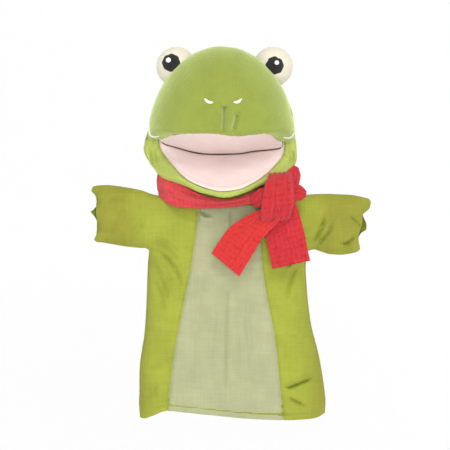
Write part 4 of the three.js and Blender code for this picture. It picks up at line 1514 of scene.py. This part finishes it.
class PUPPET_OT_mouth(bpy.types.Operator):
    """Makes the pink upper and lower pads that line the mouth"""

    bl_idname = "puppet.mouth"
    bl_label = "Mouth pads"

    def execute(self, context):
        face = Face(context.scene)
        t = np.linspace(0.002, 0.998, 200)
        edge, _, _ = face.lower(t)
        back = face.crease(edge[:, 0] * 0.985)
        v = np.linspace(0, 1, 90)[:, None, None]
        back = back - [0, 0, 0.8]
        grid = back[None] * (1 - v) + edge[None] * v
        along = np.broadcast_to(v[..., 0], grid.shape[:2])
        grid[..., 2] -= 1.0 * np.sin(math.pi * along) ** 1.2 * np.sin(math.pi * t)[None] ** 0.6
        relief = face.puff * (np.sin(math.pi * along) ** 0.4 * np.clip(np.sin(math.pi * t) * 4, 0, 1)[None])
        relief += 0.25 * waves(
            grid[..., 0], grid[..., 2], 81, 9, 26
        ) + 0.6 * np.exp(-(((along - 0.95) / 0.05) ** 2))
        relief += fold(
            grid[..., [0, 2]].reshape(-1, 2), [(-46, 203), (-43, 196), (-38, 190)], 1.5, -0.8
        ).reshape(relief.shape)
        relief *= np.clip(along / 0.03, 0.2, 1)
        out = outward(grid, (face.x, 20, 130))
        made = cloth_grid(
            "lower_mouth_pad_cloth", grid, 1.3, out=out, relief=relief,
            thread=np.stack([grid[..., 0], along * 50], -1), weld=True
        )
        dye(made, "pink")
        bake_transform(made)
        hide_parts("lower_mouth_pad")

        share = np.linspace(0.1, 0.945, 200)
        lip = smoothed(UPPER_LIP, share) + [0, 0.8, -0.1]
        back = face.crease(lip[:, 0] * 0.985)
        grid = back[None] * (1 - v) + lip[None] * v
        mid = np.clip(np.sin(math.pi * (share - 0.1) / 0.845), 0, 1)
        relief = face.puff * 0.8 * np.sin(math.pi * along) ** 0.5 * mid[None] ** 0.5 + 0.2 * waves(
            grid[..., 0], grid[..., 1], 82, 10, 26
        )
        relief *= np.clip(along / 0.03, 0.2, 1)
        out = outward(grid, (face.x, -30, 280))
        made = cloth_grid(
            "palate_cloth", grid, 1.3, out=out, relief=relief,
            thread=np.stack([grid[..., 0], along * 45], -1), weld=True
        )
        dye(made, "pink")
        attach(made, "head")
        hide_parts("palate_pad")
        return {"FINISHED"}


# ---------------------------------------------------------------- eyes and stitched features

EYES = {
    "left": (-38.2, 6, 263.2, -41.8, 265.3, -43.8, 267.2, 1.9),
    "right": (34.6, 6, 263.2, 35.6, 263.2, 37.2, 265.2, 1.7)
}


class PUPPET_OT_eyes(bpy.types.Operator):
    """Stuffs the two eyes and embroiders their pupils and glints"""

    bl_idname = "puppet.eyes"
    bl_label = "Eyes"

    def execute(self, context):
        s = context.scene.puppet_eye
        radius, pupil = s.radius / MM, s.pupil / MM
        for word, (x, y, z, px, pz, gx, gz, glint) in EYES.items():
            e = np.linspace(-math.pi / 2, math.pi / 2, 72)[:, None]
            a = np.linspace(0, 2 * math.pi, 120, endpoint=False)[None]
            round_ = np.stack(
                np.broadcast_arrays(np.cos(e) * np.cos(a), -np.sin(e) * 0.94, np.cos(e) * np.sin(a)), -1
            )
            grid = np.array([x, y, z]) + radius * round_
            edge = np.exp(-((np.sin(e) / 0.07) ** 2))
            relief = 0.16 * waves(
                grid[..., 0] * 1.3, grid[..., 2], 91 + len(word), 6, 14
            ) - 0.45 * edge + 0.12 * np.sin(a * 22) * np.exp(-((np.sin(e) / 0.2) ** 2))
            grid = grid + round_ * relief[..., None]
            made = closed_grid(
                f"{word}_eye_cloth", grid, thread=grid[..., [0, 2]], out=outward(grid, (x, y, z), True)
            )
            weld_points(made)
            dye(made, "eye")
            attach(made, "head")
            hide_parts(f"{word}_eye")
            self.patch(
                f"{word}_pupil_stitching", (x, y, z), radius, (px, pz), pupil, s.spokes, 0.65, "black",
                f"{word}_pupil"
            )
            self.patch(
                f"{word}_glint_stitching", (x, y, z), radius + 0.6, (gx, gz), glint, 9, 0.45, "white",
                f"{word}_glint"
            )
        return {"FINISHED"}

    def patch(self, name, ball, radius, spot, size, spokes, high, cloth, node):
        """A satin-stitched disc lying on an eye; its ends of thread make a slightly uneven edge."""
        rows, columns = 22, 160
        r = np.linspace(0, 1, rows)[:, None]
        a = np.linspace(0, 2 * math.pi, columns, endpoint=False)[None]
        rim = size * (1 + 0.028 * np.cos(8 * a + 0.4) + 0.012 * np.sin(a * spokes))
        x, z = spot[0] + r * rim * np.cos(a), spot[1] + r * rim * np.sin(a)
        dx, dz = x - ball[0], z - ball[2]
        base = ball[1] - 0.94 * np.sqrt(np.maximum(radius**2 - dx**2 - dz**2, 4.0))
        lift = high * (1 - r**6) * (0.8 + 0.2 * np.cos(a * spokes) * np.clip(r * 3, 0, 1)) + 0.05
        grid = np.stack([x, base - lift, z], -1)
        made = cloth_grid(
            name, grid, 0.5, wrap_u=True, out=outward(grid, (spot[0], 40, spot[1]), True), weld=True
        )
        dye(made, cloth)
        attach(made, "head")
        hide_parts(node)


class PUPPET_OT_stitches(bpy.types.Operator):
    """Embroiders the nostrils and the ends of the smile"""

    bl_idname = "puppet.stitches"
    bl_label = "Nostrils and smile"

    def execute(self, context):
        dome = BVHTree.FromObject(bpy.data.objects["head_front_cloth"], context.evaluated_depsgraph_get())
        for name, node, spots, width, count, radius in (
            (
                "left_nostril_stitching", "left_nostril",
                [(-16.4, 236.4), (-14.8, 234.6), (-12.8, 233.5), (-10.2, 233.4)], 1.3, 5, 0.4
            ),
            (
                "right_nostril_stitching", "right_nostril",
                [(4.8, 233.6), (7.2, 233.6), (9, 234.5), (10.5, 236.2)], 1.3, 5, 0.4
            ),
            (
                "left_smile_stitching", "left_smile_stitch",
                [(-50.2, 210), (-53.6, 209.6), (-56.4, 210.4), (-57.8, 213.4), (-57.9, 221)], 0.6, 3, 0.34
            ),
            (
                "right_smile_stitching", "right_smile_stitch",
                [(41.6, 209), (45.2, 208.8), (48.2, 209.8), (49.6, 212.6)], 0.6, 3, 0.34
            ),
        ):
            line = curve(spots, 0.35)
            t = np.linspace(0, 1, len(line))
            side = np.gradient(line, axis=0)[:, ::-1] * [-1, 1]
            side /= np.linalg.norm(side, axis=1, keepdims=True)
            strands = []
            for k in np.linspace(-1, 1, count):
                spread = 0.5 * width * k * np.sin(math.pi * np.clip(t, 0.04, 0.96)) ** 0.7
                laid = []
                for x, z in line + side * spread[:, None]:
                    hit, normal, _, _ = dome.ray_cast(Vector((x, -200, z)) * MM, Vector((0, 1, 0)))
                    if hit is not None:
                        laid.append(np.array(hit / MM + normal * (0.3 - 0.1 * abs(k))))
                strands.append(np.array(laid))
            made = threads(name, strands, radius)
            dye(made, "white")
            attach(made, "head")
            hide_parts(node)
        for node in ("finger_pocket", "thumb_pocket", "head_base"):
            dye(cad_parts[node], "lining")
        return {"FINISHED"}


# ---------------------------------------------------------------- stage

class PUPPET_OT_stage(bpy.types.Operator):
    """Sets out the pale floor and backdrop, the soft lights and the camera"""

    bl_idname = "puppet.stage"
    bl_label = "Stage"

    def execute(self, context):
        s = context.scene.puppet_stage
        scene = context.scene
        side = np.array(
            [(-6000, -420), (0, -420), (1400, -380), (2800, 60), (3900, 1300), (4300, 3200), (4400, 7000)],
            float
        )
        line = curve(side, 60)
        grid = np.stack(
            [np.stack([np.full(len(line), x), line[:, 0], line[:, 1]], 1) for x in (-9000, 9000)], 0
        )
        drop = new_object("backdrop", grid.reshape(-1, 3), grid_faces(2, len(line), False, False))
        drop.data.materials.append(still("backdrop_paper", s.tone))
        for name, place, size, power, aim in (
            ("key_light", (0.35, -1.7, 1.9), 0.9, 21, (0, 0, 0.14)),
            ("fill_light", (0.1, -3.0, 0.2), 0.9, 45, (0, 0, 0.14)),
        ):
            light = bpy.data.lights.new(name, "AREA")
            light.energy, light.size = power, size
            lamp = bpy.data.objects.new(name, light)
            lamp.location = place
            lamp.rotation_euler = (Vector(aim) - Vector(place)).to_track_quat("-Z", "Y").to_euler()
            scene.collection.objects.link(lamp)
        world = bpy.data.worlds.new("studio")
        world.use_nodes = True
        world.node_tree.nodes["Background"].inputs["Color"].default_value = (1, 1, 1, 1)
        world.node_tree.nodes["Background"].inputs["Strength"].default_value = 0.84
        scene.world = world
        lens = bpy.data.cameras.new("camera")
        lens.sensor_width = 36
        lens.lens = 36 * s.distance / s.framed
        lens.clip_end = 50
        eye = bpy.data.objects.new("camera", lens)
        eye.location = (-0.0015, -s.distance, 0.144)
        eye.rotation_euler = (math.pi / 2, 0, 0)
        scene.collection.objects.link(eye)
        scene.camera = eye
        scene.view_settings.view_transform = "Standard"
        return {"FINISHED"}


# ---------------------------------------------------------------- add-on

SETTINGS = {
    "puppet_glove": GloveSettings,
    "puppet_scarf": ScarfSettings,
    "puppet_head": HeadSettings,
    "puppet_mouth": MouthSettings,
    "puppet_eye": EyeSettings,
    "puppet_stage": StageSettings,
}
OPERATORS = (
    PUPPET_OT_glove,
    PUPPET_OT_neck,
    PUPPET_OT_scarf,
    PUPPET_OT_head,
    PUPPET_OT_mouth,
    PUPPET_OT_eyes,
    PUPPET_OT_stitches,
    PUPPET_OT_stage,
)


class PUPPET_PT_parts(bpy.types.Panel):
    """Lists the puppet's parts and their sizes"""

    bl_idname = "PUPPET_PT_parts"
    bl_label = "Frog Hand Puppet"
    bl_space_type = "VIEW_3D"
    bl_region_type = "UI"
    bl_category = "Puppet"

    def draw(self, context):
        for operator in OPERATORS:
            self.layout.operator(operator.bl_idname)
        for name, kind in SETTINGS.items():
            column = self.layout.column()
            for setting in kind.__annotations__:
                column.prop(getattr(context.scene, name), setting)


def register():
    for kind in (*SETTINGS.values(), *OPERATORS, PUPPET_PT_parts):
        bpy.utils.register_class(kind)
    for name, kind in SETTINGS.items():
        setattr(bpy.types.Scene, name, PointerProperty(type=kind))


def unregister():
    for name in SETTINGS:
        delattr(bpy.types.Scene, name)
    for kind in reversed((*SETTINGS.values(), *OPERATORS, PUPPET_PT_parts)):
        bpy.utils.unregister_class(kind)


def main():
    register()
    bpy.ops.puppet.glove()
    bpy.ops.puppet.neck()
    bpy.ops.puppet.scarf()
    bpy.ops.puppet.head()
    bpy.ops.puppet.mouth()
    bpy.ops.puppet.eyes()
    bpy.ops.puppet.stitches()
    bpy.ops.puppet.stage()


if __name__ == "__main__":
    main()
